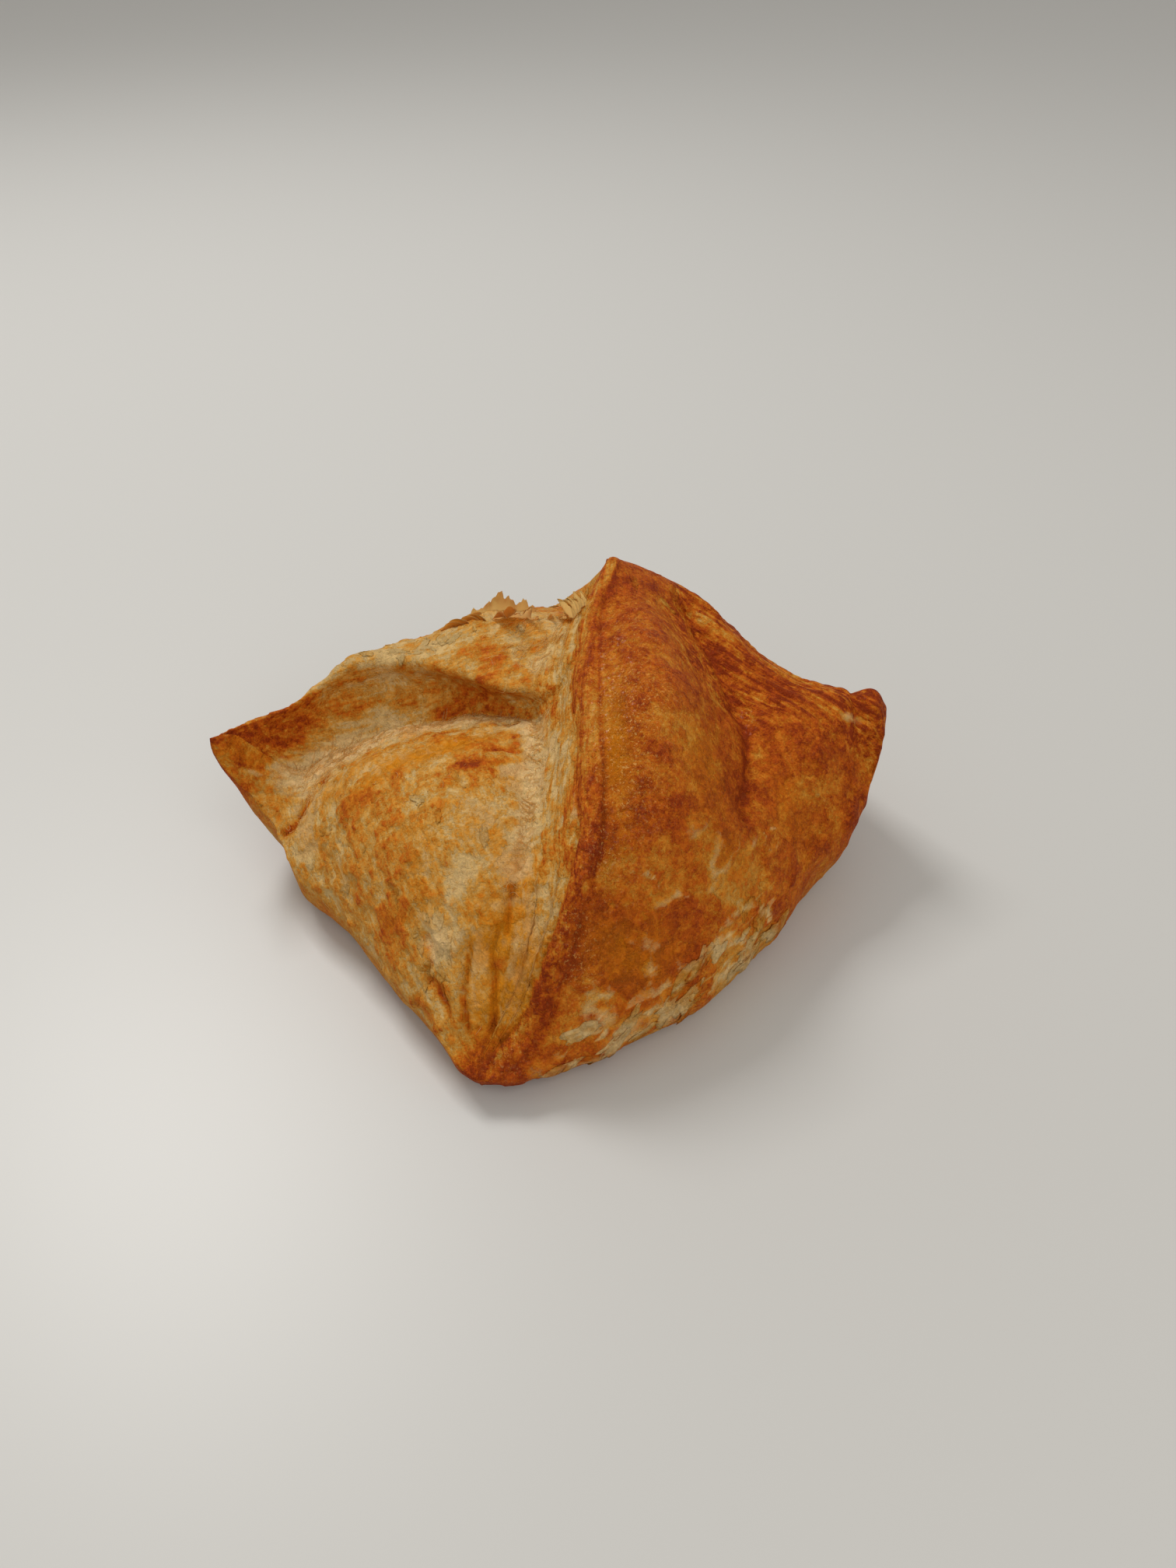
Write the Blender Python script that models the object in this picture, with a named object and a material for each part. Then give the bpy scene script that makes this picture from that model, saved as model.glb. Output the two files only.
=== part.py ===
"""Egg puff: a square of puff pastry folded over its filling and baked to one piece, as one closed solid.

The sizes are in millimetres in the part's own frame: +X to the right-hand corner, +Y to the back corner,
+Z up, and the origin under the middle of the puff on the plane it rests on. The surface is a row of closed
sections across X. Each section runs over the front flaps, up the wall of the hollow, over the back flaps
and round below to the flat base.
"""

import bpy
import numpy as np

MM = 0.001
SEED = 7

# Folds of the pastry as (x, y, z) points: the right-hand flap lies over the others.
RIDGE = [(-11, -60, 8), (-4, -55, 15), (2, -49, 28), (5, -42, 36), (6, -26, 44), (5.5, -8, 47), (6.5, 6, 49.5),
         (11.5, 22.8, 54)]
CREST = [(11.5, 22.8, 54), (16, 26, 51), (20, 26, 49), (25, 24.5, 47), (31, 21, 44.5), (35, 15.5, 41.5), (40, 10, 39),
         (45, 6, 37), (50, 5.5, 36), (56, 5.5, 35.3), (61, 4.5, 34.3)]
BULGE_OVER_EGG = [(19, -30, 44), (21, -15, 50), (20, 0, 51), (17, 12, 51.5)]
CREASE = [(26, 19, 45), (32, 6, 39), (35.5, -8, 34), (33, -25, 31)]
SIDE_LOBE = [(44, -6, 35), (52, -3, 33.5)]
HEM_RIGHT = [(0, -58, 14), (17, -51, 20), (30, -42, 22), (40, -32, 23), (52, -15, 24), (60, -4, 27)]
FALL_RIGHT = [(10, 40, 38), (20, 37, 38), (32, 31, 34), (44, 20, 30), (54, 14, 28)]
BACK_RIGHT = [(58, 17, 22), (44, 36, 22), (26, 49, 22), (10, 58, 23)]

SEAM = [(-11, -56, 11), (-9, -49, 20), (-6, -42, 28), (-3.5, -32, 33), (-2.5, -18, 35), (-2, -5, 36)]
VALLEY = [(-2, -5, 36), (-15, 3, 31), (-30, 5, 26.5), (-41, 3, 23), (-49, -1, 21), (-54, -1, 25), (-60, -3, 29)]
BELLY = [(-36, -10, 29), (-22, -20, 35), (-16, -34, 32.5)]
HEM_LEFT = [(-60, -5, 26), (-56, -7, 19), (-50, -13, 17), (-44, -21, 19), (-36, -32, 20), (-28, -41, 19),
            (-19, -51, 16)]

ARCH = [(-62.5, -3, 31), (-57, 1, 32), (-52, 3, 33), (-45.5, 8, 34.5), (-39, 11, 36.5), (-32, 11, 38.5),
        (-25, 8.5, 40), (-18, 4, 40.5), (-11.5, -0.5, 40.5), (-7, -3, 41), (0, -4, 42)]
BACK_FOLD = [(-57, 3, 32), (-50, 8, 33.7), (-43, 13.5, 36.8), (-38, 16.5, 38), (-33, 17, 37.8), (-28, 16, 37.4),
             (-23, 18.5, 39.4), (-17, 21, 42), (-7, 18, 44.5), (2, 16, 45), (5, 22, 42)]
FALL_LEFT = [(-46, 22, 26), (-36, 26, 28.5), (-24, 30, 31), (-12, 34, 33.4), (0, 36, 35.5), (6, 46, 33)]
BACK_LEFT = [(-52, 12, 22), (-40, 24, 22), (-28, 34, 22), (-14, 45, 22), (0, 55, 22)]

# The torn top between the flaps: leaves of pastry that stand up from the back fold, as (x, y) points.
TORN_EDGE = [(-19, 20.5), (-12, 20.5), (-5, 19), (1, 18), (6, 21)]
TORN_HEIGHT = 2.6
TORN_WIDTH = 2.2

# Plan outline and heights along X, as (x, value) pairs.
TIP_X, TIP_CUT = 63.5, 0.3
FRONT_EDGE = [(-63.5, -3), (-61.5, -4.2), (-58.5, -5.2), (-53, -9.6), (-50, -15), (-47, -19.6), (-41, -25),
              (-35, -31.8), (-29, -39.6), (-23.5, -47), (-18, -54.7), (-14.5, -59.4), (-11, -61), (-6, -60.8),
              (-1, -59.3), (8, -56), (17, -52), (26.5, -46.3), (31, -41.6), (37, -34.8), (43, -27.8),
              (49, -20.5), (54, -14.8), (58, -9.5), (61.5, -4.2), (63.5, 4)]
BACK_EDGE = [(-63.5, -3), (-61, 1.5), (-52, 11.5), (-40, 23.5), (-28, 34), (-14, 46), (-4, 56), (3, 60.5),
             (8, 61), (14, 58.5), (27, 50), (44, 37), (56, 22.5), (61, 13.5), (63.5, 4)]
VALLEY_LINE = [(-63.5, -3), (-58, -0.5), (-53, -0.5), (-49, -0.5), (-41, 4), (-30, 6), (-22, 5.5), (-15, 4),
               (-7, -1), (-2, -4.8), (0, -6), (8, 1), (18, 7), (30, 7), (47, 5), (63.5, 4)]
LIP_LINE = [(-63.5, -3), (-57, 1), (-52, 3), (-45.5, 8), (-39, 11), (-32, 11), (-25, 8.5), (-18, 4),
            (-11.5, -0.5), (-7, -3), (0, -4), (8, 3), (18, 9), (30, 9), (47, 7), (63.5, 4)]
FRONT_EDGE_HEIGHT = [(-63.5, 29.5), (-61.5, 25.5), (-58.5, 21.5), (-53, 17), (-47, 11), (-20, 8.5), (-8, 5.5),
                     (8, 6.5), (30, 10.5), (43, 12), (50, 15), (56, 18), (61.5, 24.5), (63.5, 30)]
BACK_EDGE_HEIGHT = [(-63.5, 29.5), (-60, 22), (-50, 14), (-20, 12), (6, 12), (40, 13), (56, 17), (61, 23),
                    (63.5, 30)]
UNDERSIDE_HEIGHT = [(-63.5, 29), (-62, 23.5), (-58.5, 14.5), (-53, 6), (-46, 0), (44, 0), (52, 3), (58, 9), (62, 18.5),
                    (63.5, 28)]
CUT_EDGE_WIDTH = [(-61, 2.5), (-52, 7.5), (-40, 10.5), (-20, 10), (-4, 9), (8, 7.5), (18, 4.8), (25, 4),
                  (34, 9), (62, 10)]

BASE_INSET = 9.0
EDGE_ROUND_FRONT = 13.0
EDGE_ROUND_BACK = 12.0
HOLLOW_DEPTH = 4.0
LIP_ROUND = 3.0
CREASE_DEPTH, CREASE_WIDTH = 1.4, 1.8
RIM_HEIGHT, RIM_WIDTH, RIM_INSET = 1.3, 2.0, 1.5

# Relief that shows in the crust.
LEAF_STEP, LEAF_COUNT = 0.5, 3
PLATE_STEP, PLATE_SIZE = 0.6, 9.0
BUBBLE_HEIGHT, BUBBLE_SIZE = 0.5, 5.0
EDGE_RAG, EDGE_RAG_SIZE = 0.5, 5.0

# Points in each stretch of a section, and the number of sections.
SECTIONS = 99
UNDER_FRONT, FRONT_TOP, WALL, BACK_TOP, UNDER_BACK, BASE = 5, 25, 4, 17, 5, 4
FINE = 400


def rail(knots):
    """A curve through (x, value) knots that doesn't overshoot between them (monotone cubic)."""
    x, y = np.array(knots, float).T
    step = np.diff(x)
    rise = np.diff(y) / step
    slope = np.zeros_like(y)
    slope[0], slope[-1] = rise[0], rise[-1]
    before, after = 2 * step[1:] + step[:-1], step[1:] + 2 * step[:-1]
    same = rise[:-1] * rise[1:] > 0
    slope[1:-1][same] = ((before + after)[same]
                         / (before[same] / rise[:-1][same] + after[same] / rise[1:][same]))

    def value(at):
        at = np.clip(at, x[0], x[-1])
        i = np.clip(np.searchsorted(x, at) - 1, 0, len(step) - 1)
        t = (at - x[i]) / step[i]
        return ((1 + 2 * t) * (1 - t) ** 2 * y[i] + t * (1 - t) ** 2 * step[i] * slope[i]
                + t * t * (3 - 2 * t) * y[i + 1] - t * t * (1 - t) * step[i] * slope[i + 1])

    return value


def along(points, count):
    """count points spread evenly along a smooth curve through the given ones."""
    points = np.array(points, float)
    travelled = np.r_[0, np.cumsum(np.linalg.norm(np.diff(points, axis=0), axis=1))]
    even = np.linspace(0, travelled[-1], count)
    return np.stack([rail(np.c_[travelled, points[:, k]])(even) for k in range(points.shape[1])], 1)


def skin(*folds, slack=0.02):
    """Height over (x, y) of the thin sheet that hangs on the given fold points (thin-plate spline)."""
    points = np.concatenate(folds)
    _, first = np.unique(np.round(points[:, :2], 1), axis=0, return_index=True)
    points = points[np.sort(first)]

    def pull(a, b):
        square = ((a[:, None, 0] - b[None, :, 0]) ** 2 + (a[:, None, 1] - b[None, :, 1]) ** 2) / 100
        return square * np.log(square + 1e-9)

    count = len(points)
    flat = np.c_[np.ones(count), points[:, :2] / 10]
    system = np.zeros((count + 3, count + 3))
    system[:count, :count] = pull(points, points) + slack * np.eye(count)
    system[:count, count:] = flat
    system[count:, :count] = flat.T
    weights = np.linalg.solve(system, np.r_[points[:, 2], 0, 0, 0])

    def height(x, y):
        at = np.c_[np.ravel(x), np.ravel(y)]
        plain = np.c_[np.ones(len(at)), at / 10] @ weights[count:]
        return (pull(at, points) @ weights[:count] + plain).reshape(np.shape(x))

    return height


def distance_to(points):
    """Distance in plan from (x, y) to the smooth curve through the given points."""
    line = along(points, 40)[:, :2]

    def distance(x, y):
        nearest = np.full(np.shape(x), 1e9)
        for start, end in zip(line[:-1], line[1:]):
            run = end - start
            t = np.clip(((x - start[0]) * run[0] + (y - start[1]) * run[1]) / (run @ run), 0, 1)
            nearest = np.minimum(nearest, np.hypot(x - start[0] - t * run[0], y - start[1] - t * run[1]))
        return nearest

    return distance


def soft(t):
    """0 to 1 with soft ends."""
    t = np.clip(t, 0, 1)
    return t * t * (3 - 2 * t)


def noise(x, y, size, seed):
    """Smooth random waves from -1 to 1, about size apart."""
    table = np.random.default_rng(seed).uniform(-1, 1, (64, 64))
    u, v = x / size + 31.7, y / size + 17.3
    i, j = np.floor(u).astype(int), np.floor(v).astype(int)
    s, t = soft(u - i), soft(v - j)
    corner = lambda a, b: table[(i + a) % 64, (j + b) % 64]
    return ((corner(0, 0) * (1 - s) + corner(1, 0) * s) * (1 - t)
            + (corner(0, 1) * (1 - s) + corner(1, 1) * s) * t)


def plates(x, y, size, seed):
    """-1 to 1, the same all over each leaf of crust: leaves are the cells round scattered points."""
    random = np.random.default_rng(seed)
    x = x + 0.35 * size * noise(x, y, size * 0.6, seed + 1)
    y = y + 0.35 * size * noise(x, y, size * 0.6, seed + 2)
    centres = random.uniform(-70, 70, (int((140 / size) ** 2), 2))
    levels = random.uniform(-1, 1, len(centres))
    nearest = np.full(np.shape(x), 1e9)
    level = np.zeros(np.shape(x))
    for centre, own in zip(centres, levels):
        away = (x - centre[0]) ** 2 + (y - centre[1]) ** 2
        closer = away < nearest
        nearest = np.where(closer, away, nearest)
        level = np.where(closer, own, level)
    return level


right_flap = skin(along(RIDGE, 24), along(CREST, 20), along(HEM_RIGHT, 14), along(BULGE_OVER_EGG, 7),
                  along(CREASE, 7), along(SIDE_LOBE, 2), along(FALL_RIGHT, 10), along(BACK_RIGHT, 10))
left_flap = skin(along(SEAM, 14), along(VALLEY, 14), along(HEM_LEFT, 12), along(BELLY, 4))
back_flap = skin(along(ARCH, 18), along(BACK_FOLD, 18), along(FALL_LEFT, 10), along(BACK_LEFT, 10))
cut_edge_width = rail(CUT_EDGE_WIDTH)
to_crease = distance_to(CREASE)
to_torn_edge = distance_to(TORN_EDGE)
ridge_points = along(RIDGE, 24)


def ridge_x(y):
    """Where the cut edge of the right-hand flap lies, as x over y."""
    return np.interp(y, np.r_[ridge_points[:, 1], 62], np.r_[ridge_points[:, 0], 8])


def across_cut_edge(x, y):
    """0 at the foot of the layered edge, 1 at the ridge and beyond it."""
    return np.clip((x - ridge_x(y) + cut_edge_width(y)) / cut_edge_width(y), 0, 1)


def top_height(x, y, behind):
    """Height of the crust over (x, y): the right-hand flap laid over the left or the back one."""
    t = across_cut_edge(x, y)
    below = np.where(behind, back_flap(x, y), left_flap(x, y))
    z = below + (right_flap(x, y) - below) * (0.7 * t + 0.3 * soft(t))
    z = z - CREASE_DEPTH * np.exp(-((to_crease(x, y) / CREASE_WIDTH) ** 2))
    # The edge of the right-hand flap is rolled to a rim beside the ridge.
    rim = np.exp(-(((x - ridge_x(y) - RIM_INSET) / RIM_WIDTH) ** 2))
    z = z + RIM_HEIGHT * rim * soft((26 - y) / 8) * soft((y + 60) / 8)
    # Leaves of the cut edge stand as steps along it.
    steps = np.floor(t * LEAF_COUNT) / LEAF_COUNT + 0.5 / LEAF_COUNT - t
    z = z + np.where((t > 0) & (t < 1), LEAF_STEP * LEAF_COUNT * steps * 0.6, 0)
    # Torn leaves stand ragged between the flaps.
    ragged = np.clip(0.5 + 0.9 * noise(x, y, 4.2, SEED + 20), 0, 1.2)
    z = z + TORN_HEIGHT * ragged * np.exp(-((to_torn_edge(x, y) / TORN_WIDTH) ** 2)) * behind
    return z + relief(x, y)


def relief(x, y):
    """Bubbles and leaves of the crust, in millimetres up. The tips are left as they are."""
    bubbles = BUBBLE_HEIGHT * noise(x, y, BUBBLE_SIZE, SEED)
    leaves = PLATE_STEP * plates(x, y, PLATE_SIZE, SEED + 3) * soft((x - 2) / 8) * soft((-y - 5) / 12)
    return (bubbles + leaves) * soft((TIP_X - np.abs(x)) / 8)


def evenly(stretch, count):
    """The stretch of each section again, with count + 1 points at even distances and the last left off."""
    steps = np.linalg.norm(np.diff(stretch, axis=1), axis=2)
    travelled = np.concatenate([np.zeros((len(stretch), 1)), np.cumsum(steps, axis=1)], 1)
    travelled /= travelled[:, -1:]
    even = np.linspace(0, 1, count + 1)
    rows = [np.stack([np.interp(even, t, row[:, k]) for k in range(3)], 1) for t, row in zip(travelled, stretch)]
    return np.array(rows)[:, :-1]


def quarter(share):
    """Height of a quarter circle over its own width, 0 to 1."""
    return np.sqrt(np.clip(1 - (1 - np.clip(share, 0, 1)) ** 2, 0, 1))


def round_lip(wall, over_back):
    """The wall and the back with the corner between them rounded: a point near it moves to the mean of the crust
    up to LIP_ROUND away along the section, or less where the wall is low."""
    line = np.concatenate([wall, over_back], 1)
    steps = np.linalg.norm(np.diff(line, axis=1), axis=2)
    travelled = np.concatenate([np.zeros((len(line), 1)), np.cumsum(steps, axis=1)], 1)
    lip_at = travelled[:, wall.shape[1] - 1]
    reach = np.clip(0.45 * lip_at, 0.05, LIP_ROUND)
    pieces = (line[:, 1:] + line[:, :-1]) / 2 * steps[..., None]
    summed = np.concatenate([np.zeros((len(line), 1, 3)), np.cumsum(pieces, axis=1)], 1)
    moved = []
    for row, total, t, at, r in zip(line, summed, travelled, lip_at, reach):
        low, high = np.clip(t - r, 0, t[-1]), np.clip(t + r, 0, t[-1])
        mean = np.stack([np.interp(high, t, total[:, k]) - np.interp(low, t, total[:, k]) for k in range(3)], 1)
        mean /= (high - low)[:, None]
        near = np.exp(-(((t - at) / (1.6 * r)) ** 2))[:, None]
        moved.append(row + (mean - row) * near)
    moved = np.array(moved)
    return moved[:, : wall.shape[1]], moved[:, wall.shape[1] :]


def sections():
    """All sections as an array (section, point, xyz)."""
    spread = np.linspace(0, np.pi, SECTIONS)
    x = (TIP_X - TIP_CUT) * (0.65 * np.linspace(-1, 1, SECTIONS) - 0.35 * np.cos(spread))
    rag = EDGE_RAG * soft((TIP_X - np.abs(x)) / 8)
    front = rail(FRONT_EDGE)(x) + rag * noise(x, x * 0, EDGE_RAG_SIZE, SEED + 5)
    back = rail(BACK_EDGE)(x) + rag * noise(x, x * 0, EDGE_RAG_SIZE, SEED + 6)
    lip, valley = rail(LIP_LINE)(x), rail(VALLEY_LINE)(x)
    low_front, low_back, under = rail(FRONT_EDGE_HEIGHT)(x), rail(BACK_EDGE_HEIGHT)(x), rail(UNDERSIDE_HEIGHT)(x)
    x, front, back, lip, valley = (row[:, None] for row in (x, front, back, lip, valley))
    low_front, low_back, under = low_front[:, None], low_back[:, None], under[:, None]
    inset = np.minimum(BASE_INSET, 0.3 * (back - front))
    share = np.linspace(0, 1, FINE)[None, :]
    x = x + 0 * share

    y = front + (valley - front) * share ** 1.6
    rounding = quarter((y - front) / np.minimum(EDGE_ROUND_FRONT, 0.45 * (back - front)))
    over_front = np.stack([x, y, low_front + (top_height(x, y, False) - low_front) * rounding], 2)

    y = lip + (back - lip) * (1 - (1 - share) ** 1.6)
    rounding = quarter((back - y) / np.minimum(EDGE_ROUND_BACK, 0.45 * (back - front)))
    over_back = np.stack([x, y, low_back + (top_height(x, y, True) - low_back) * rounding], 2)

    foot, head = over_front[:, -1:], over_back[:, :1]
    wall = foot + (head - foot) * share[..., None]
    wall[..., 1] += np.clip(0.35 * (head - foot)[..., 2], 0, HOLLOW_DEPTH) * np.sin(np.pi * share)
    wall, over_back = round_lip(wall, over_back)

    turn = share * np.pi / 2
    under_front = np.stack([x, front + inset * (1 - np.sin(turn)), under + (low_front - under) * (1 - np.cos(turn))], 2)
    under_back = np.stack([x, back - inset * (1 - np.cos(turn)), low_back + (under - low_back) * np.sin(turn)], 2)
    base = under_back[:, -1:] + (under_front[:, :1] - under_back[:, -1:]) * share[..., None]

    stretches = [(under_front, UNDER_FRONT), (over_front, FRONT_TOP), (wall, WALL), (over_back, BACK_TOP),
                 (under_back, UNDER_BACK), (base, BASE)]
    grid = np.concatenate([evenly(stretch, count) for stretch, count in stretches], 1)
    return grid * [TIP_X / (TIP_X - TIP_CUT), 1, 1]


def solid(name, grid):
    """A closed mesh over the sections, with a face over each end."""
    count, size = grid.shape[:2]
    start = np.arange(count - 1)[:, None] * size
    here, there = np.arange(size)[None, :], (np.arange(size) + 1)[None, :] % size
    quads = np.stack([start + here, start + size + here, start + size + there, start + there], 2).reshape(-1, 4)
    ends = [list(range(size)), list(range((count - 1) * size, count * size))[::-1]]
    mesh = bpy.data.meshes.new(name)
    mesh.from_pydata((grid.reshape(-1, 3) * MM).tolist(), [], quads.tolist() + ends)
    mesh.validate()
    if mesh_volume(mesh) < 0:
        mesh.flip_normals()
    body = bpy.data.objects.new(name, mesh)
    bpy.context.scene.collection.objects.link(body)
    return body


def mesh_volume(mesh):
    """Signed volume inside the mesh: it is negative when the faces point inwards."""
    mesh.calc_loop_triangles()
    point = np.array([vertex.co for vertex in mesh.vertices])
    corner = point[np.array([triangle.vertices for triangle in mesh.loop_triangles])]
    return np.einsum("ij,ij->", corner[:, 0], np.cross(corner[:, 1], corner[:, 2])) / 6


for old in list(bpy.data.objects):
    bpy.data.objects.remove(old)

pastry = solid("pastry", sections())
print("pastry", len(pastry.data.polygons), "faces,", round(mesh_volume(pastry.data) * 1e6, 1), "cm3")
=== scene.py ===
# %% [markdown]
# # Egg puff
# A square of laminated pastry is folded over its filling, its four corners are pinched, and it is baked until the
# egg wash turns brown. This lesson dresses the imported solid: a fine crust on the same form, with the baked colours,
# the leaves of the cut edge, torn flakes and fibres. Every cell prints what it made.

import math

import bpy
import numpy as np
from mathutils import Matrix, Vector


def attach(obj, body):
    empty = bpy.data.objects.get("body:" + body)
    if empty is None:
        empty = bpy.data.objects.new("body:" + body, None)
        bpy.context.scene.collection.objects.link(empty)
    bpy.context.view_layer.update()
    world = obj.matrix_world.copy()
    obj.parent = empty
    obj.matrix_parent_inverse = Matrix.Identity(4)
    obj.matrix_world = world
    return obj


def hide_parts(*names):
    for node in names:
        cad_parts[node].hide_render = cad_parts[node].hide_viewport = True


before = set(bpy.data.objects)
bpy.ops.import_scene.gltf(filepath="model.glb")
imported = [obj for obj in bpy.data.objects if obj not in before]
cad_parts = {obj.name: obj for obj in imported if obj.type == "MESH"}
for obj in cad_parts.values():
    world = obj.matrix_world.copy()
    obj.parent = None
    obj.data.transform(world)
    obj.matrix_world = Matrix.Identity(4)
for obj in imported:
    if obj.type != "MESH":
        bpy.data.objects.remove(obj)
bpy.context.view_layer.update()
MM, SEED = 0.001, 7

# %% [markdown]
# The folds of the pastry are a few curves in space, in millimetres: +X to the right-hand corner, +Y to the back
# one, +Z up. They could be sculpted by hand, but a list of points is easy to read and to move. The right-hand flap
# lies over the others, so its cut edge is the ridge that runs from the front corner to the top.

# %% The folds
RIDGE = [(-11, -60, 8), (-4, -55, 15), (2, -49, 28), (5, -42, 36), (6, -26, 44), (5.5, -8, 47), (6.5, 6, 49.5),
         (11.5, 22.8, 54)]
CREST = [(11.5, 22.8, 54), (16, 26, 51), (20, 26, 49), (25, 24.5, 47), (31, 21, 44.5), (35, 15.5, 41.5),
         (40, 10, 39), (45, 6, 37), (50, 5.5, 36), (56, 5.5, 35.3), (61, 4.5, 34.3)]
BULGE_OVER_EGG = [(19, -30, 44), (21, -15, 50), (20, 0, 51), (17, 12, 51.5)]
CREASE = [(26, 19, 45), (32, 6, 39), (35.5, -8, 34), (33, -25, 31)]
SIDE_LOBE = [(44, -6, 35), (52, -3, 33.5)]
HEM_RIGHT = [(0, -58, 14), (17, -51, 20), (30, -42, 22), (40, -32, 23), (52, -15, 24), (60, -4, 27)]
FALL_RIGHT = [(10, 40, 38), (20, 37, 38), (32, 31, 34), (44, 20, 30), (54, 14, 28)]
BACK_RIGHT = [(58, 17, 22), (44, 36, 22), (26, 49, 22), (10, 58, 23)]
SEAM = [(-11, -56, 11), (-9, -49, 20), (-6, -42, 28), (-3.5, -32, 33), (-2.5, -18, 35), (-2, -5, 36)]
VALLEY = [(-2, -5, 36), (-15, 3, 31), (-30, 5, 26.5), (-41, 3, 23), (-49, -1, 21), (-54, -1, 25), (-60, -3, 29)]
BELLY = [(-36, -10, 29), (-22, -20, 35), (-16, -34, 32.5)]
HEM_LEFT = [(-60, -5, 26), (-56, -7, 19), (-50, -13, 17), (-44, -21, 19), (-36, -32, 20), (-28, -41, 19),
            (-19, -51, 16)]
ARCH = [(-62.5, -3, 31), (-57, 1, 32), (-52, 3, 33), (-45.5, 8, 34.5), (-39, 11, 36.5), (-32, 11, 38.5),
        (-25, 8.5, 40), (-18, 4, 40.5), (-11.5, -0.5, 40.5), (-7, -3, 41), (0, -4, 42)]
BACK_FOLD = [(-57, 3, 32), (-50, 8, 33.7), (-43, 13.5, 36.8), (-38, 16.5, 38), (-33, 17, 37.8), (-28, 16, 37.4),
             (-23, 18.5, 39.4), (-17, 21, 42), (-7, 18, 44.5), (2, 16, 45), (5, 22, 42)]
FALL_LEFT = [(-46, 22, 26), (-36, 26, 28.5), (-24, 30, 31), (-12, 34, 33.4), (0, 36, 35.5), (6, 46, 33)]
BACK_LEFT = [(-52, 12, 22), (-40, 24, 22), (-28, 34, 22), (-14, 45, 22), (0, 55, 22)]
TORN_EDGE = [(-19, 20.5), (-12, 20.5), (-5, 19), (1, 18), (6, 21)]
ROLLED_RIM = [(-9.5, -60), (-6, -57.8), (-1, -54.2), (1.1, -51.4), (3.1, -48.5), (5.8, -43), (7.4, -35), (7, -24),
              (6.8, -10), (7.4, 6), (9.5, 16), (11.5, 22)]
print("the ridge rises from", RIDGE[0][2], "to", RIDGE[-1][2], "mm")

# %% [markdown]
# Seen from above the parcel has an outline, and each of its edges has a height. These change along X only, so
# each is a list of (x, number) pairs. The lip is the front border of the back flap, and the valley is where the
# front flap dips to meet it.

# %% Outline and heights along X
TIP_X, TIP_CUT = 63.5, 0.3
FRONT_EDGE = [(-63.5, -3), (-61.5, -4.2), (-58.5, -5.2), (-53, -9.6), (-50, -15), (-47, -19.6), (-41, -25),
              (-35, -31.8), (-29, -39.6), (-23.5, -47), (-18, -54.7), (-14.5, -59.4), (-11, -61), (-6, -60.8),
              (-1, -59.3), (8, -56), (17, -52), (26.5, -46.3), (31, -41.6), (37, -34.8), (43, -27.8),
              (49, -20.5), (54, -14.8), (58, -9.5), (61.5, -4.2), (63.5, 4)]
BACK_EDGE = [(-63.5, -3), (-61, 1.5), (-52, 11.5), (-40, 23.5), (-28, 34), (-14, 46), (-4, 56), (3, 60.5),
             (8, 61), (14, 58.5), (27, 50), (44, 37), (56, 22.5), (61, 13.5), (63.5, 4)]
VALLEY_LINE = [(-63.5, -3), (-58, -0.5), (-53, -0.5), (-49, -0.5), (-41, 4), (-30, 6), (-22, 5.5), (-15, 4),
               (-7, -1), (-2, -4.8), (0, -6), (8, 1), (18, 7), (30, 7), (47, 5), (63.5, 4)]
LIP_LINE = [(-63.5, -3), (-57, 1), (-52, 3), (-45.5, 8), (-39, 11), (-32, 11), (-25, 8.5), (-18, 4),
            (-11.5, -0.5), (-7, -3), (0, -4), (8, 3), (18, 9), (30, 9), (47, 7), (63.5, 4)]
FRONT_EDGE_HEIGHT = [(-63.5, 29.5), (-61.5, 25.5), (-58.5, 21.5), (-53, 17), (-47, 11), (-20, 8.5), (-8, 5.5),
                     (8, 6.5), (30, 10.5), (43, 12), (50, 15), (56, 18), (61.5, 24.5), (63.5, 30)]
BACK_EDGE_HEIGHT = [(-63.5, 29.5), (-60, 22), (-50, 14), (-20, 12), (6, 12), (40, 13), (56, 17), (61, 23),
                    (63.5, 30)]
UNDERSIDE_HEIGHT = [(-63.5, 29), (-62, 23.5), (-58.5, 14.5), (-53, 6), (-46, 0), (44, 0), (52, 3), (58, 9),
                    (62, 18.5), (63.5, 28)]
CUT_EDGE_WIDTH = [(-61, 2.5), (-52, 7.5), (-40, 10.5), (-20, 10), (-4, 9), (8, 7.5), (18, 4.8), (25, 4),
                  (34, 9), (62, 10)]
BASE_INSET, EDGE_ROUND_FRONT, EDGE_ROUND_BACK, HOLLOW_DEPTH, LIP_ROUND = 9.0, 13.0, 12.0, 4.0, 3.0
CREASE_DEPTH, CREASE_WIDTH = 1.4, 1.8
RIM_HEIGHT, RIM_WIDTH, RIM_INSET = 1.3, 2.0, 1.5
depth = max(y for _, y in BACK_EDGE) - min(y for _, y in FRONT_EDGE)
print("the outline is", 2 * TIP_X, "mm wide and", depth, "mm deep")

# %% [markdown]
# Three tools turn the points into a surface. A rail is a curve through numbers that never overshoots. A skin is the
# shape that a thin sheet takes when it is hung on the folds, a thin-plate spline. Smooth random waves in space, made
# from a small table of random numbers, give bubbles and grain. All of them take whole arrays at once.


# %% Curves, skins and waves
LINE_POINTS, LATTICE, WAVE_GAIN = 30, 32, 1.4


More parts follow.
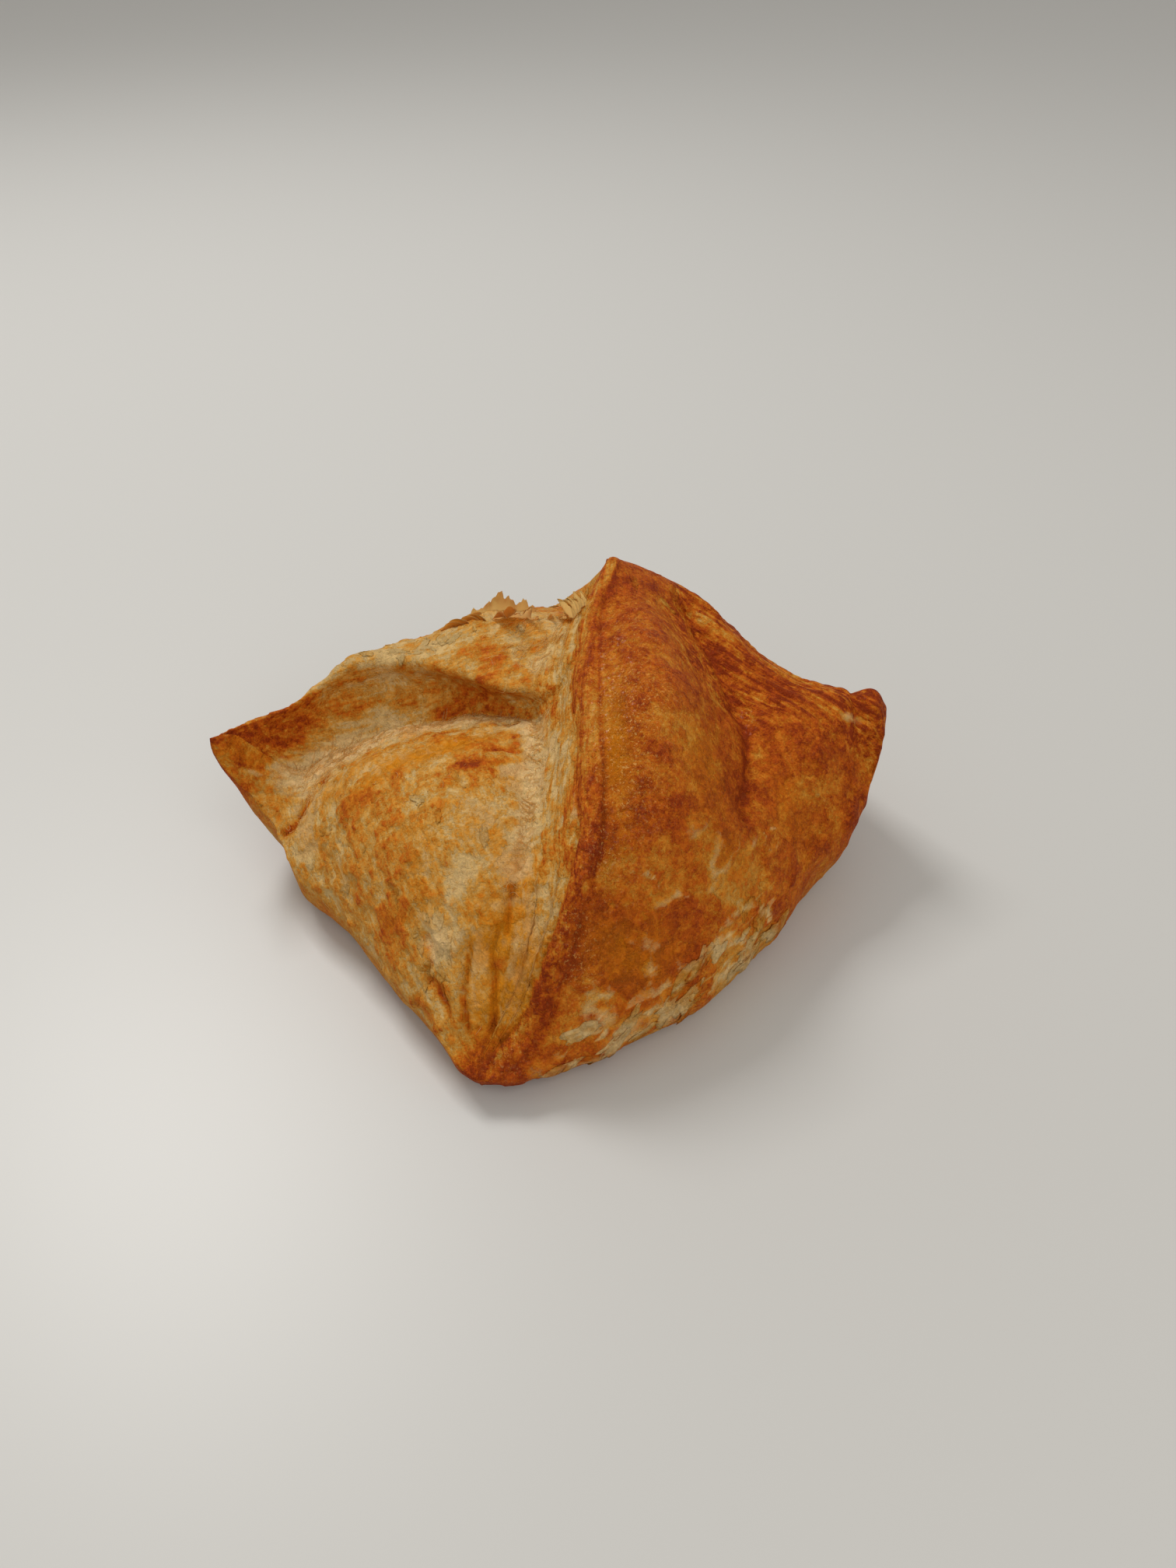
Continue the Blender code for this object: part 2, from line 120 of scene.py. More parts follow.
def rail(knots):
    """A curve through (x, value) knots: cubic pieces whose slopes are the harmonic mean of their neighbours'."""
    x, y = np.array(knots, float).T
    step = np.diff(x)
    rise = np.diff(y) / step
    slope = np.zeros_like(y)
    slope[0], slope[-1] = rise[0], rise[-1]
    before, after = 2 * step[1:] + step[:-1], step[1:] + 2 * step[:-1]
    same = rise[:-1] * rise[1:] > 0
    slope[1:-1][same] = ((before + after)[same]
                         / (before[same] / rise[:-1][same] + after[same] / rise[1:][same]))

    def value(at):
        at = np.clip(at, x[0], x[-1])
        i = np.clip(np.searchsorted(x, at) - 1, 0, len(step) - 1)
        t = (at - x[i]) / step[i]
        return ((1 + 2 * t) * (1 - t) ** 2 * y[i] + t * (1 - t) ** 2 * step[i] * slope[i]
                + t * t * (3 - 2 * t) * y[i + 1] - t * t * (1 - t) * step[i] * slope[i + 1])

    return value


def along(points, count):
    """count points at even distances along a smooth curve through the given ones."""
    points = np.array(points, float)
    travelled = np.r_[0, np.cumsum(np.linalg.norm(np.diff(points, axis=0), axis=1))]
    even = np.linspace(0, travelled[-1], count)
    return np.stack([rail(np.c_[travelled, points[:, k]])(even) for k in range(points.shape[1])], 1)


def skin(*folds, slack=0.02):
    """Height over (x, y): a tilted plane plus, for each fold point, a weight times r*r*log(r) of the distance."""
    points = np.concatenate(folds)
    _, first = np.unique(np.round(points[:, :2], 1), axis=0, return_index=True)
    points = points[np.sort(first)]

    def pull(a, b):
        square = ((a[:, None, 0] - b[None, :, 0]) ** 2 + (a[:, None, 1] - b[None, :, 1]) ** 2) / 100
        return square * np.log(square + 1e-9)

    count = len(points)
    flat = np.c_[np.ones(count), points[:, :2] / 10]
    system = np.zeros((count + 3, count + 3))
    system[:count, :count] = pull(points, points) + slack * np.eye(count)
    system[:count, count:] = flat
    system[count:, :count] = flat.T
    weights = np.linalg.solve(system, np.r_[points[:, 2], 0, 0, 0])

    def height(x, y):
        at = np.c_[np.ravel(x), np.ravel(y)]
        plain = np.c_[np.ones(len(at)), at / 10] @ weights[count:]
        return (pull(at, points) @ weights[:count] + plain).reshape(np.shape(x))

    return height


def distance_to(points):
    """Distance in plan from (x, y) to the smooth curve through the given points."""
    line = along(points, LINE_POINTS)[:, :2]

    def distance(x, y):
        nearest = np.full(np.shape(x), 1e9)
        for start, end in zip(line[:-1], line[1:]):
            run = end - start
            t = np.clip(((x - start[0]) * run[0] + (y - start[1]) * run[1]) / (run @ run), 0, 1)
            nearest = np.minimum(nearest, np.hypot(x - start[0] - t * run[0], y - start[1] - t * run[1]))
        return nearest

    return distance


def soft(t):
    """0 to 1 with soft ends: 3t^2 - 2t^3."""
    t = np.clip(t, 0, 1)
    return t * t * (3 - 2 * t)


def hump(distance, width):
    """1 where the distance is nothing and near 0 beyond the width: exp(-(distance / width)^2)."""
    return np.exp(-((distance / width) ** 2))


def waves(p, size, seed, octaves=1):
    """Random waves from about -1 to 1, size apart: values at the corners of a lattice, blended softly between."""
    table = np.random.default_rng(seed).uniform(-1, 1, (LATTICE, LATTICE, LATTICE))
    total, strength, weight = 0.0, 1.0, 0.0
    for octave in range(octaves):
        q = p * (2.0**octave / size) + 11.3 * (octave + 1)
        cell = np.floor(q).astype(int)
        f = soft(q - cell)
        i, j, k = (cell[..., n] for n in range(3))
        value = 0.0
        for a in (0, 1):
            for b in (0, 1):
                for c in (0, 1):
                    share = (f[..., 0] if a else 1 - f[..., 0]) * (f[..., 1] if b else 1 - f[..., 1])
                    share = share * (f[..., 2] if c else 1 - f[..., 2])
                    value = value + share * table[(i + a) % LATTICE, (j + b) % LATTICE, (k + c) % LATTICE]
        total = total + strength * value
        weight += strength
        strength *= 0.5
    return total / weight * WAVE_GAIN


def grain(p, direction, length, width, seed, octaves=1):
    """Waves drawn out along a direction: the lattice is stretched to length that way and to width across it."""
    direction = np.array(direction, float) / np.linalg.norm(direction)
    run = (p @ direction)[..., None]
    return waves(p + direction * run * (width / length - 1), width, seed, octaves)


def waves_along(at, size, seed):
    """Random waves along a line, over its array of places."""
    return waves(np.stack([at, at * 0, at * 0], -1), size, seed)


print("tools ready; a wave at the origin is", round(float(waves(np.zeros((1, 3)), 5, SEED)[0]), 3))

# %% [markdown]
# The top is two heights laid over each other. The left-hand and back flaps are the lower sheet, the right-hand flap
# the upper one, and the share of the upper one grows across the layered cut edge. A row of closed sections across X
# carries the whole crust: over the front, up the wall of the hollow, over the back and round to the flat base.

# %% The form
right_flap = skin(along(RIDGE, 24), along(CREST, 20), along(HEM_RIGHT, 14), along(BULGE_OVER_EGG, 7),
                  along(CREASE, 7), along(SIDE_LOBE, 2), along(FALL_RIGHT, 10), along(BACK_RIGHT, 10))
left_flap = skin(along(SEAM, 14), along(VALLEY, 14), along(HEM_LEFT, 12), along(BELLY, 4))
back_flap = skin(along(ARCH, 18), along(BACK_FOLD, 18), along(FALL_LEFT, 10), along(BACK_LEFT, 10))
cut_edge_width = rail(CUT_EDGE_WIDTH)
to_crease = distance_to(CREASE)
ridge_points = along(RIDGE, 24)


def ridge_x(y):
    """Where the cut edge of the right-hand flap lies, as x over y."""
    return np.interp(y, np.r_[ridge_points[:, 1], 62], np.r_[ridge_points[:, 0], 8])


def across_cut_edge(x, y):
    """0 at the foot of the layered edge, 1 at the ridge and beyond it."""
    return np.clip((x - ridge_x(y) + cut_edge_width(y)) / cut_edge_width(y), 0, 1)


def top_height(x, y, behind):
    """Height of the smooth crust: lower sheet + (upper sheet - lower sheet) * share, with the rim and the crease."""
    t = across_cut_edge(x, y)
    below = np.where(behind, back_flap(x, y), left_flap(x, y))
    z = below + (right_flap(x, y) - below) * (0.7 * t + 0.3 * soft(t))
    z = z - CREASE_DEPTH * hump(to_crease(x, y), CREASE_WIDTH)
    rolled = hump(x - ridge_x(y) - RIM_INSET, RIM_WIDTH)
    return z + RIM_HEIGHT * rolled * soft((26 - y) / 8) * soft((y + 60) / 8)


print("height of the smooth crust in the middle:", top_height(np.zeros(1), np.full(1, -20.0), False).round(1))

# %% [markdown]
# Each section is made of six stretches that follow each other. They get many points at first, and then few at even
# distances, most of them where the crust shows. The sections crowd towards the two pointed corners. The lip of the
# arch is rounded by a mean along the section, as a sheet of dough can't bend sharply.


# %% The sections
SECTIONS, FINE = 330, 500
EVEN_SHARE, CROWD_SHARE, GATHER, WALL_BULGE, INSET_SHARE, EDGE_SHARE = 0.78, 0.22, 1.6, 0.35, 0.3, 0.45
STRETCHES = {"under_front": 9, "over_front": 184, "wall": 22, "over_back": 58, "under_back": 7, "base": 5}


def evenly(stretch, count):
    """Each section's stretch again, with points at even distances along it and the last left off."""
    steps = np.linalg.norm(np.diff(stretch, axis=1), axis=2)
    travelled = np.concatenate([np.zeros((len(stretch), 1)), np.cumsum(steps, axis=1)], 1)
    travelled /= travelled[:, -1:]
    even = np.linspace(0, 1, count + 1)
    rows = [np.stack([np.interp(even, t, row[:, k]) for k in range(3)], 1) for t, row in zip(travelled, stretch)]
    return np.array(rows)[:, :-1]


def quarter(share):
    """Height of a quarter circle over its own width: sqrt(1 - (1 - share)^2)."""
    return np.sqrt(np.clip(1 - (1 - np.clip(share, 0, 1)) ** 2, 0, 1))


def round_lip(wall, over_back):
    """The wall and the back with the corner between them rounded: a point near it moves to the mean of the crust
    up to LIP_ROUND away along the section, or less where the wall is low."""
    line = np.concatenate([wall, over_back], 1)
    steps = np.linalg.norm(np.diff(line, axis=1), axis=2)
    travelled = np.concatenate([np.zeros((len(line), 1)), np.cumsum(steps, axis=1)], 1)
    lip_at = travelled[:, wall.shape[1] - 1]
    reach = np.clip(EDGE_SHARE * lip_at, 0.05, LIP_ROUND)
    pieces = (line[:, 1:] + line[:, :-1]) / 2 * steps[..., None]
    summed = np.concatenate([np.zeros((len(line), 1, 3)), np.cumsum(pieces, axis=1)], 1)
    moved = []
    for row, total, t, at, r in zip(line, summed, travelled, lip_at, reach):
        low, high = np.clip(t - r, 0, t[-1]), np.clip(t + r, 0, t[-1])
        mean = np.stack([np.interp(high, t, total[:, k]) - np.interp(low, t, total[:, k]) for k in range(3)], 1)
        mean /= (high - low)[:, None]
        near = hump(t - at, 1.6 * r)[:, None]
        moved.append(row + (mean - row) * near)
    moved = np.array(moved)
    return moved[:, : wall.shape[1]], moved[:, wall.shape[1] :]


def smooth_sections():
    """The crust as an array (section, point, xyz): quarter rounds at the edges, the two tops and a bulged wall."""
    spread = np.linspace(0, np.pi, SECTIONS)
    x = (TIP_X - TIP_CUT) * (EVEN_SHARE * np.linspace(-1, 1, SECTIONS) - CROWD_SHARE * np.cos(spread))
    front, back, lip, valley, low_front, low_back, under = (
        rail(knots)(x)[:, None] for knots in (FRONT_EDGE, BACK_EDGE, LIP_LINE, VALLEY_LINE, FRONT_EDGE_HEIGHT,
                                              BACK_EDGE_HEIGHT, UNDERSIDE_HEIGHT))
    inset = np.minimum(BASE_INSET, INSET_SHARE * (back - front))
    share = np.linspace(0, 1, FINE)[None, :]
    x = x[:, None] + 0 * share
    y = front + (valley - front) * share**GATHER
    rounding = quarter((y - front) / np.minimum(EDGE_ROUND_FRONT, EDGE_SHARE * (back - front)))
    over_front = np.stack([x, y, low_front + (top_height(x, y, False) - low_front) * rounding], 2)
    y = lip + (back - lip) * (1 - (1 - share) ** GATHER)
    rounding = quarter((back - y) / np.minimum(EDGE_ROUND_BACK, EDGE_SHARE * (back - front)))
    over_back = np.stack([x, y, low_back + (top_height(x, y, True) - low_back) * rounding], 2)
    foot, head = over_front[:, -1:], over_back[:, :1]
    wall = foot + (head - foot) * share[..., None]
    wall[..., 1] += np.clip(WALL_BULGE * (head - foot)[..., 2], 0, HOLLOW_DEPTH) * np.sin(np.pi * share)
    wall, over_back = round_lip(wall, over_back)
    turn = share * np.pi / 2
    cos, sin = np.cos(turn), np.sin(turn)
    under_front = np.stack([x, front + inset * (1 - sin), under + (low_front - under) * (1 - cos)], 2)
    under_back = np.stack([x, back - inset * (1 - cos), low_back + (under - low_back) * sin], 2)
    base = under_back[:, -1:] + (under_front[:, :1] - under_back[:, -1:]) * share[..., None]
    stretches = (under_front, over_front, wall, over_back, under_back, base)
    grid = np.concatenate([evenly(stretch, count) for stretch, count in zip(stretches, STRETCHES.values())], 1)
    return grid * [TIP_X / (TIP_X - TIP_CUT), 1, 1]


def outwards(grid):
    """Unit normals of closed sections: cross product of the way ahead and the way round."""
    normal = np.cross(np.gradient(grid, axis=0), np.roll(grid, -1, axis=1) - np.roll(grid, 1, axis=1))
    normal /= np.linalg.norm(normal, axis=2, keepdims=True) + 1e-9
    return normal if ((grid - grid.mean((0, 1))) * normal).sum() > 0 else -normal


smooth_crust = smooth_sections()
smooth_normal = outwards(smooth_crust)
stretch_of = np.repeat(list(STRETCHES), list(STRETCHES.values()))
print("crust grid", smooth_crust.shape, "box", smooth_crust.min((0, 1)).round(1), smooth_crust.max((0, 1)).round(1))

# %% [markdown]
# Next come masks from 0 to 1 over the grid: the layered cut edge, its rolled rim beside the ridge, the two front
# flaps, the hollow, the back and the parts below. The brown of the right-hand flap fades down the side, so that it
# has no hard border there. Relief and colour both use the masks, so that a raised leaf and its brown border always
# fall together.

# %% Zones
p = smooth_crust
x, y, z = p[..., 0], p[..., 1], p[..., 2]
cut = across_cut_edge(x, y)
is_front, is_wall, is_back, is_under_front = (
    stretch_of[None, :] == stretch for stretch in ("over_front", "wall", "over_back", "under_front"))
is_over = is_front | is_back | is_wall
low_front_z = z[:, STRETCHES["under_front"]][:, None]
low_back_z = z[:, sum(list(STRETCHES.values())[:4])][:, None]
down_side = np.where(y < y.mean(1, keepdims=True), z / low_front_z, z / low_back_z)
down_side = np.where(is_over, 1.0, soft(down_side))
in_cut_edge = soft(cut / 0.08) * soft((1 - cut) / 0.08) * is_over * soft((24 - y) / 5)
on_right = soft((cut - 0.9) / 0.1) * down_side
on_left = (1 - soft(cut / 0.08)) * is_front
in_hollow = is_wall * (1 - soft((x + 4) / 5)) * np.ones_like(x)
on_back = (1 - soft(cut / 0.08)) * is_back
below = soft((9 - z) / 9) * (~is_over | (z < 9))
from_valley = distance_to(VALLEY)(x, y)
from_seam = distance_to(SEAM)(x, y)
past_ridge = x - ridge_x(y)
from_torn = distance_to(TORN_EDGE)(x, y)
from_rim = distance_to(ROLLED_RIM)(x, y)
rim_half = 1.8 - 0.3 * soft((-38 - y) / 12)
rim = np.exp(-((from_rim / rim_half) ** 6)) * is_over * soft((27 - y) / 6)
beside_rim = hump(from_rim - rim_half - 0.3, 0.4) * is_over * soft((24 - y) / 6) * soft((y + 60) / 6)
mapped = on_right * soft((0.45 * x - y - 40) / 8)
fan = on_right * soft((x - 19) / 7) * soft((y + 9) / 9)


def patch(at, reach, turn=0.0):
    """A soft oval spot on the crust: exp(-(a^2 + b^2)), with a and b along the turned axes over their reach."""
    cos, sin = math.cos(math.radians(turn)), math.sin(math.radians(turn))
    a, b = x - at[0], y - at[1]
    return np.exp(-(((a * cos + b * sin) / reach[0]) ** 2) - ((b * cos - a * sin) / reach[1]) ** 2)


def spots(table):
    """The sum of the soft spots of a table, each with its place, reach, turn and strength."""
    return sum(strength * patch(at, reach, turn) for at, reach, turn, strength in table.values())


def crust_waves(size, number, octaves=1):
    """Waves over the smooth crust; each number gives other waves."""
    return waves(p, size, SEED + number, octaves)


def crust_grain(direction, length, width, number, octaves=1):
    """Drawn-out waves over the smooth crust; each number gives other waves."""
    return grain(p, direction, length, width, SEED + number, octaves)


print("zones:", {name: round(float(zone.mean()), 2) for name, zone in
                 {"cut edge": in_cut_edge, "right": on_right, "left": on_left, "hollow": in_hollow}.items()})

# %% [markdown]
# The crust has lines and spots that can be pointed at: blisters of the egg wash beside the ridge, cracks that run up
# from the front corner, deep folds at the hollow, and raised rims where a leaf tore. They are written down as places
# in plan, in millimetres, so that each can be moved by itself.

# %% Lines and spots of the relief
ALONG_RIDGE, ALONG_FAN, ALONG_ARCH = (0.1, 1, 0.2), (0.80, -0.55, -0.25), (0.97, 0.12, 0.2)
ALONG_FLAP = (0.35, -0.85, -0.4)
BLISTERS = {
    "beside the ridge": ((13, -17), (7, 9), 0, 1.0), "lower": ((13, -30), (5, 8), 0, 0.9),
    "above the crack": ((9, -41), (3, 4), 0, 0.7), "near the top": ((14, 1), (5, 8), 0, 0.6),
    "above the corner": ((5, -50), (3, 3), 0, 0.8), "front corner": ((-8, -58), (4, 3), 0, 0.5)}
CRACKS = [
    [(-5.6, -40.3), (-6.2, -43.2), (-6.4, -45.5)], [(-7.9, -45.2), (-9.1, -47.4), (-8.5, -50.5), (-9.1, -55)],
    [(-12.6, -46.8), (-13.2, -49.2), (-13.7, -52.3), (-13.2, -54.8)],
    [(-20.6, -43.5), (-18.9, -46.2), (-20.2, -47.4), (-18.3, -49.6), (-16.6, -52.6)]]
DEEP_FOLDS = [
    [(-50.5, -12), (-47.3, -10), (-43.6, -7), (-42, -3), (-40.7, 1.6), (-38, 2.4), (-35.2, 1)],
    [(-27, -2.6), (-24, -1.6), (-20, -1.4), (-15.5, -1.7), (-9.7, -2.3), (-6, -3)],
    [(-11.6, -12.5), (-8.5, -12.2), (-5, -13)]]
RIMS = [
    [(10.8, -41.7), (13.7, -41.9), (16.6, -41.3), (18.3, -42), (22.3, -41.1), (25.6, -39.2), (27.8, -37.4)],
    [(9.1, -47.3), (12, -47), (13.2, -47.6), (17.8, -46.5)],
    [(16.6, -48.6), (18.9, -47.3), (22.3, -46.7), (25.1, -44.5)],
    [(28.3, -41), (31, -38.3), (34.2, -35.5), (38.2, -33)], [(29.4, -43.5), (33.1, -39.6), (34.2, -38.1)],
    [(35.7, -24.5), (37.7, -25), (36.7, -26.9), (38.2, -27), (40.2, -24.7)],
    [(39.7, -22.9), (35, -28), (33.6, -33)],
    [(-20.6, -43.5), (-18.9, -46.2), (-20.2, -47.6), (-18.3, -49.6), (-16.6, -52.6)],
    [(-7.9, -40.4), (-11.4, -42.4), (-13.2, -44.4), (-14.9, -46.4), (-16.6, -48)],
    [(-40.7, 11.1), (-38.4, 12.8), (-35.8, 11.4), (-33, 9.6), (-29.9, 7.3)],
    [(-40.7, 11.1), (-40.2, 8.6), (-38, 7.6)], [(45, -13.6), (49.9, -14), (52.1, -15.7)],
    [(-57.6, -3.5), (-54.1, -2.9), (-51.6, -2.5)]]
print(len(CRACKS), "cracks,", len(DEEP_FOLDS), "deep folds and", len(RIMS), "raised rims")

# %% [markdown]
# Puff pastry rises in leaves. Where the outermost leaf tore away, the one below shows a little lower and paler, with
# a ragged border. Cutting random waves at a level makes just such borders. The relief is a sum of such fields, each
# inside its mask, and the number before a field is its height along the normal in millimetres.


# %% Relief
def torn_leaf(field, level, width=0.12):
    """(share of the outer leaf that is left, nearness to its torn border): a field of waves cut at a level."""
    height = (field - level) / width
    return soft(0.5 + height), np.exp(-(height**2))


blistered = np.clip(spots(BLISTERS), 0, 1) * is_over * soft((cut - 0.85) / 0.1)
cracks = sum(hump(distance_to(crack)(x, y), 0.55) for crack in CRACKS) * is_front
fold_width = 0.55 + 0.2 * crust_waves(3, 38)
folded = sum(hump(distance_to(fold)(x, y), fold_width) for fold in DEEP_FOLDS)
folded = np.clip(folded, 0, 1) * is_over * soft(0.75 + 0.9 * crust_waves(4, 39))
big_leaf, big_border = torn_leaf(crust_waves(9, 2, 5), 0.02)
small_leaf, small_border = torn_leaf(crust_waves(5, 3, 4), 0.10)
fine_leaf, fine_border = torn_leaf(crust_waves(2.8, 4, 3), 0.0, 0.16)
strip, strip_border = torn_leaf(crust_grain(ALONG_RIDGE, 11, 2.2, 1, 4), 0.0)
thin_strip, _ = torn_leaf(crust_grain(ALONG_RIDGE, 6, 1.3, 0, 3), 0.15, 0.16)
relief = (0.34 - 0.12 * on_right) * crust_waves(8, 10) + 0.12 * (1 - 0.6 * on_right) * crust_waves(2.6, 11, 2)
relief += in_cut_edge * (0.34 * strip + 0.22 * thin_strip + 0.1 * crust_grain(ALONG_RIDGE, 5, 0.9, 12, 2))
relief += 0.25 * rim + rim * (0.14 * thin_strip + 0.24 * crust_grain(ALONG_RIDGE, 9, 0.8, 5, 2))
relief -= 0.5 * beside_rim * soft(0.7 + crust_waves(4, 8))
relief -= 0.7 * hump(from_seam, 1.2) * is_front * soft((y + 46) / 6)
relief += mapped * (0.42 * big_leaf + 0.26 * small_leaf + 0.14 * big_border)
relief += on_left * (0.26 * small_leaf + 0.22 * fine_leaf + 0.3 * big_leaf)
relief += on_back * (0.26 * small_leaf + 0.2 * fine_leaf + 0.2 * big_leaf) + in_hollow * 0.14 * fine_leaf
outer_leaf = 0.34 * big_leaf * soft((x - 24) / 8)
relief += on_right * (1 - mapped) * (1 - fan) * (outer_leaf + 0.14 * small_leaf + 0.1 * fine_leaf)
relief += blistered * 0.26 * (crust_waves(1.6, 13, 2) + np.abs(crust_waves(1.2, 14)))
relief += fan * 0.5 * crust_grain(ALONG_FAN, 18, 1.3, 15, 2)
relief += on_left * 0.14 * crust_grain(ALONG_FLAP, 7, 1.4, 16, 2)
relief += (in_hollow + on_back * patch((-30, 12), (30, 9))) * 0.22 * crust_grain(ALONG_ARCH, 9, 1.3, 17, 2)
rim_reach = 0.5 + 0.25 * crust_waves(2, 34)
ragged = 0.5 * np.abs(crust_waves(1.6, 35))
rims = sum(hump(distance_to(torn_rim)(x, y) + ragged, rim_reach) for torn_rim in RIMS)
rims = np.clip(rims * soft(0.8 + crust_waves(3, 36)), 0, 1) * (is_over | is_under_front)
creased = hump(to_crease(x, y), 0.8) * on_right
relief += 0.32 * rims - 0.45 * creased + on_right * soft((x - 28) / 8) * 0.3 * crust_waves(7, 37, 2)
near_front = patch((-9, -50), (9, 9), 20) * is_front
relief += near_front * 0.3 * crust_grain((0.15, 0.8, 0.6), 7, 1.1, 18, 2) - 1.0 * cracks - 0.9 * folded
relief *= np.where(below > 0.98, 0.15, 1) * soft((TIP_X - np.abs(x)) / 4 + 0.25)
knob = patch((60.8, 4), (1.7, 4)) - patch((57.4, 3), (1.1, 6)) + 0.4 * patch((54, 0), (2.5, 2))
relief += is_over * knob
relief += 0.8 * patch((55, -13), (3, 3)) - 0.9 * patch((60.5, -5), (3, 3)) - 0.8 * patch((48, -22), (6, 3), 50)
crust_points = smooth_crust + smooth_normal * relief[..., None]
crust_points[..., 2] = np.maximum(crust_points[..., 2], 0)
print("relief from", round(float(relief.min()), 2), "to", round(float(relief.max()), 2), "mm")

# %% [markdown]
# Spots that are browner, less brown, pale with the cream of the inner leaves, or yellow with egg wash are four
# tables. Each row has the place, the reach both ways, the turn in degrees and the strength.

# %% Spots of the baking
# The spots named crease and by the knob darken two creases with painted shade.
BROWNER = {
    "left corner": ((-63, -3), (7, 6), 0, 0.30), "left face": ((-58, 0), (5, 4), 0, 0.10),
    "right corner": ((63, 3), (4, 5), 0, 0.12), "front corner": ((-9.5, -59), (7, 4), 25, 0.75),
    "top": ((11, 20), (7, 7), 0, 0.10), "low on the bulge": ((11, -48), (8, 3.5), 8, 0.12),
    "over the bulge": ((17, -35), (8, 6), 0, 0.10), "crease": ((34, -8), (2, 10), 5, 0.10),
    "by the knob": ((57.4, 3), (1.2, 6), 0, 0.25), "lower left flap": ((-26, -38), (8, 4), 0, 0.14),
    "streak": ((-12.4, -16.6), (4, 1.1), 8, 0.5), "curled spot": ((-38.4, 10.4), (2, 1.8), 0, 0.36),
    "wedge": ((-12, 6), (3, 5), 20, 0.16), "back fold": ((-51, 5), (8, 2), 25, 0.16),
    "crown": ((-14, -9), (7, 3), -10, 0.2), "fan": ((43, 3), (12, 6), -25, 0.24),
    "map": ((21, -42), (3, 2), 0, 0.1), "lobe side": ((44, -21), (5, 5), 60, 0.2),
    "corner rim": ((-2, -55), (2, 5), -40, 0.1)}
PALER = {
    "egg bulge": ((24, -19), (5, 7), 0, 0.14), "side lobe foot": ((49, -16), (5, 4), 0, 0.12),
    "smooth patch": ((18, -43), (8, 3.6), 8, 0.02), "over the edge": ((29, -39.5), (4, 3), 40, 0.14),
    "left of the rim": ((3.6, -4), (2.4, 11), 0, 0.12), "right edge": ((32, -38), (7, 4), 50, 0.12),
    "arch face": ((-34, 9), (12, 3), 0, 0.2), "flap shoulder": ((-42, -12), (7, 9), 0, 0.10),
    "flap middle": ((-16, -30), (7, 8), 0, 0.08), "seam side": ((-8, -34), (4, 8), 0, 0.12),
    "back middle": ((-28, 18), (9, 4), 0, 0.10), "below the torn top": ((-4, 13), (6, 5), 0, 0.22),
    "lobe": ((42, -20), (4, 6), 0, 0.08), "arch rim": ((-32, 14), (10, 3.5), -5, 0.3),
    "arch middle": ((-40, 8), (7, 4), 10, 0.12), "beside the ridge": ((9.5, -10), (1.6, 12), 0, 0.14),
    "corner layers": ((-8, -49), (5, 6), 0, 0.12), "by the front rim": ((-3.6, -50), (2.4, 5), -35, 0.45),
    "left corner": ((-56, -3), (3, 3), 0, 0.1)}
PALE = {
    "white fan": ((-1, 3), (3.2, 4), 0, 0.6), "right patch": ((55.6, -0.7), (4, 0.9), 14, 0.75),
    "rosy patch": ((37.5, -10.5), (1.8, 1.2), -30, 0.35), "left border": ((-46, -10), (3.4, 8), 10, 0.55),
    "end of the hollow": ((-43, -1), (7, 3.5), 5, 0.55), "by the seam": ((-6.2, -17.8), (2.4, 1.2), 8, 0.8),
    "torn layers": ((1, 10), (3, 5), 0, 0.3), "hollow floor": ((-36, 1.5), (8, 2.5), -5, 0.5),
    "fleck one": ((3.2, -19.8), (0.9, 3), 0, 0.55), "fleck two": ((2.6, -29), (0.9, 2.2), 0, 0.55),
    "low flap": ((-18, -45), (2.2, 3.5), 40, 0.7), "scraped": ((-15.5, -39), (3, 2.5), 0, 0.5),
    "over the arch": ((-34, 14), (9, 1.6), 2, 0.25), "low streak": ((13, -54), (6, 1.5), 18, 0.7)}
YOLK_SPOTS = {
    "over the flap": ((-21.5, -10.6), (8, 2.6), 23, 1.5), "beside it": ((-29, -14), (4, 2), 20, 0.4),
    "front": ((-8, -49), (4.5, 7), -8, 1.0), "front rim": ((-3.2, -50.8), (2, 4.5), -35, 1.0),
    "by the ridge": ((-3, -42), (2.5, 6), 8, 0.5), "rim": ((11.5, -26), (2, 12), 0, 0.8),
    "right": ((26, -22), (4, 7), 0, 0.4), "right lobe": ((43, -18), (4, 5), 0, 0.3),
    "above the map": ((30, -34), (5, 3), 40, 0.35), "below the map": ((14, -48), (8, 3), 10, 0.5)}
print(sum(len(table) for table in (BROWNER, PALER, PALE, YOLK_SPOTS)), "spots")

# %% [markdown]
# How far each place is baked is one number from 0, cream, to 1, dark brown. Thin and raised places brown first: the
# corners, the rolled rim and the lip of the arch. The same number also holds painted shade: it darkens the cracks,
# the deep folds, the crease, the thin lines beside the rim and the foot of the hollow. Each line adds or takes a
# share of that scale inside a mask.

# %% How far it is baked, with painted shade
bake = 0.445 + 0.305 * on_right - 0.04 * on_left - 0.05 * in_cut_edge + 0.01 * in_hollow
bake += spots(BROWNER) - spots(PALER)
rolled_bake = 0.60 + 0.28 * crust_grain(ALONG_RIDGE, 12, 0.8, 6, 2) + 0.1 * crust_waves(6, 7)
rolled_bake += 0.22 * soft((-26 - y) / 15) + 0.1 * soft((past_ridge - 0.6) / 2.2)
# The rolled rim has its own brown; the thin lines just beside it are darkened with painted shade.
bake = bake * (1 - rim) + rim * rolled_bake + 0.26 * beside_rim * (0.6 + 0.4 * soft(past_ridge / 2))
# Painted shade at the foot of the hollow's wall, on its right-hand part.
bake += 0.1 * in_hollow * soft((x + 32) / 10) * hump(from_valley, 2)
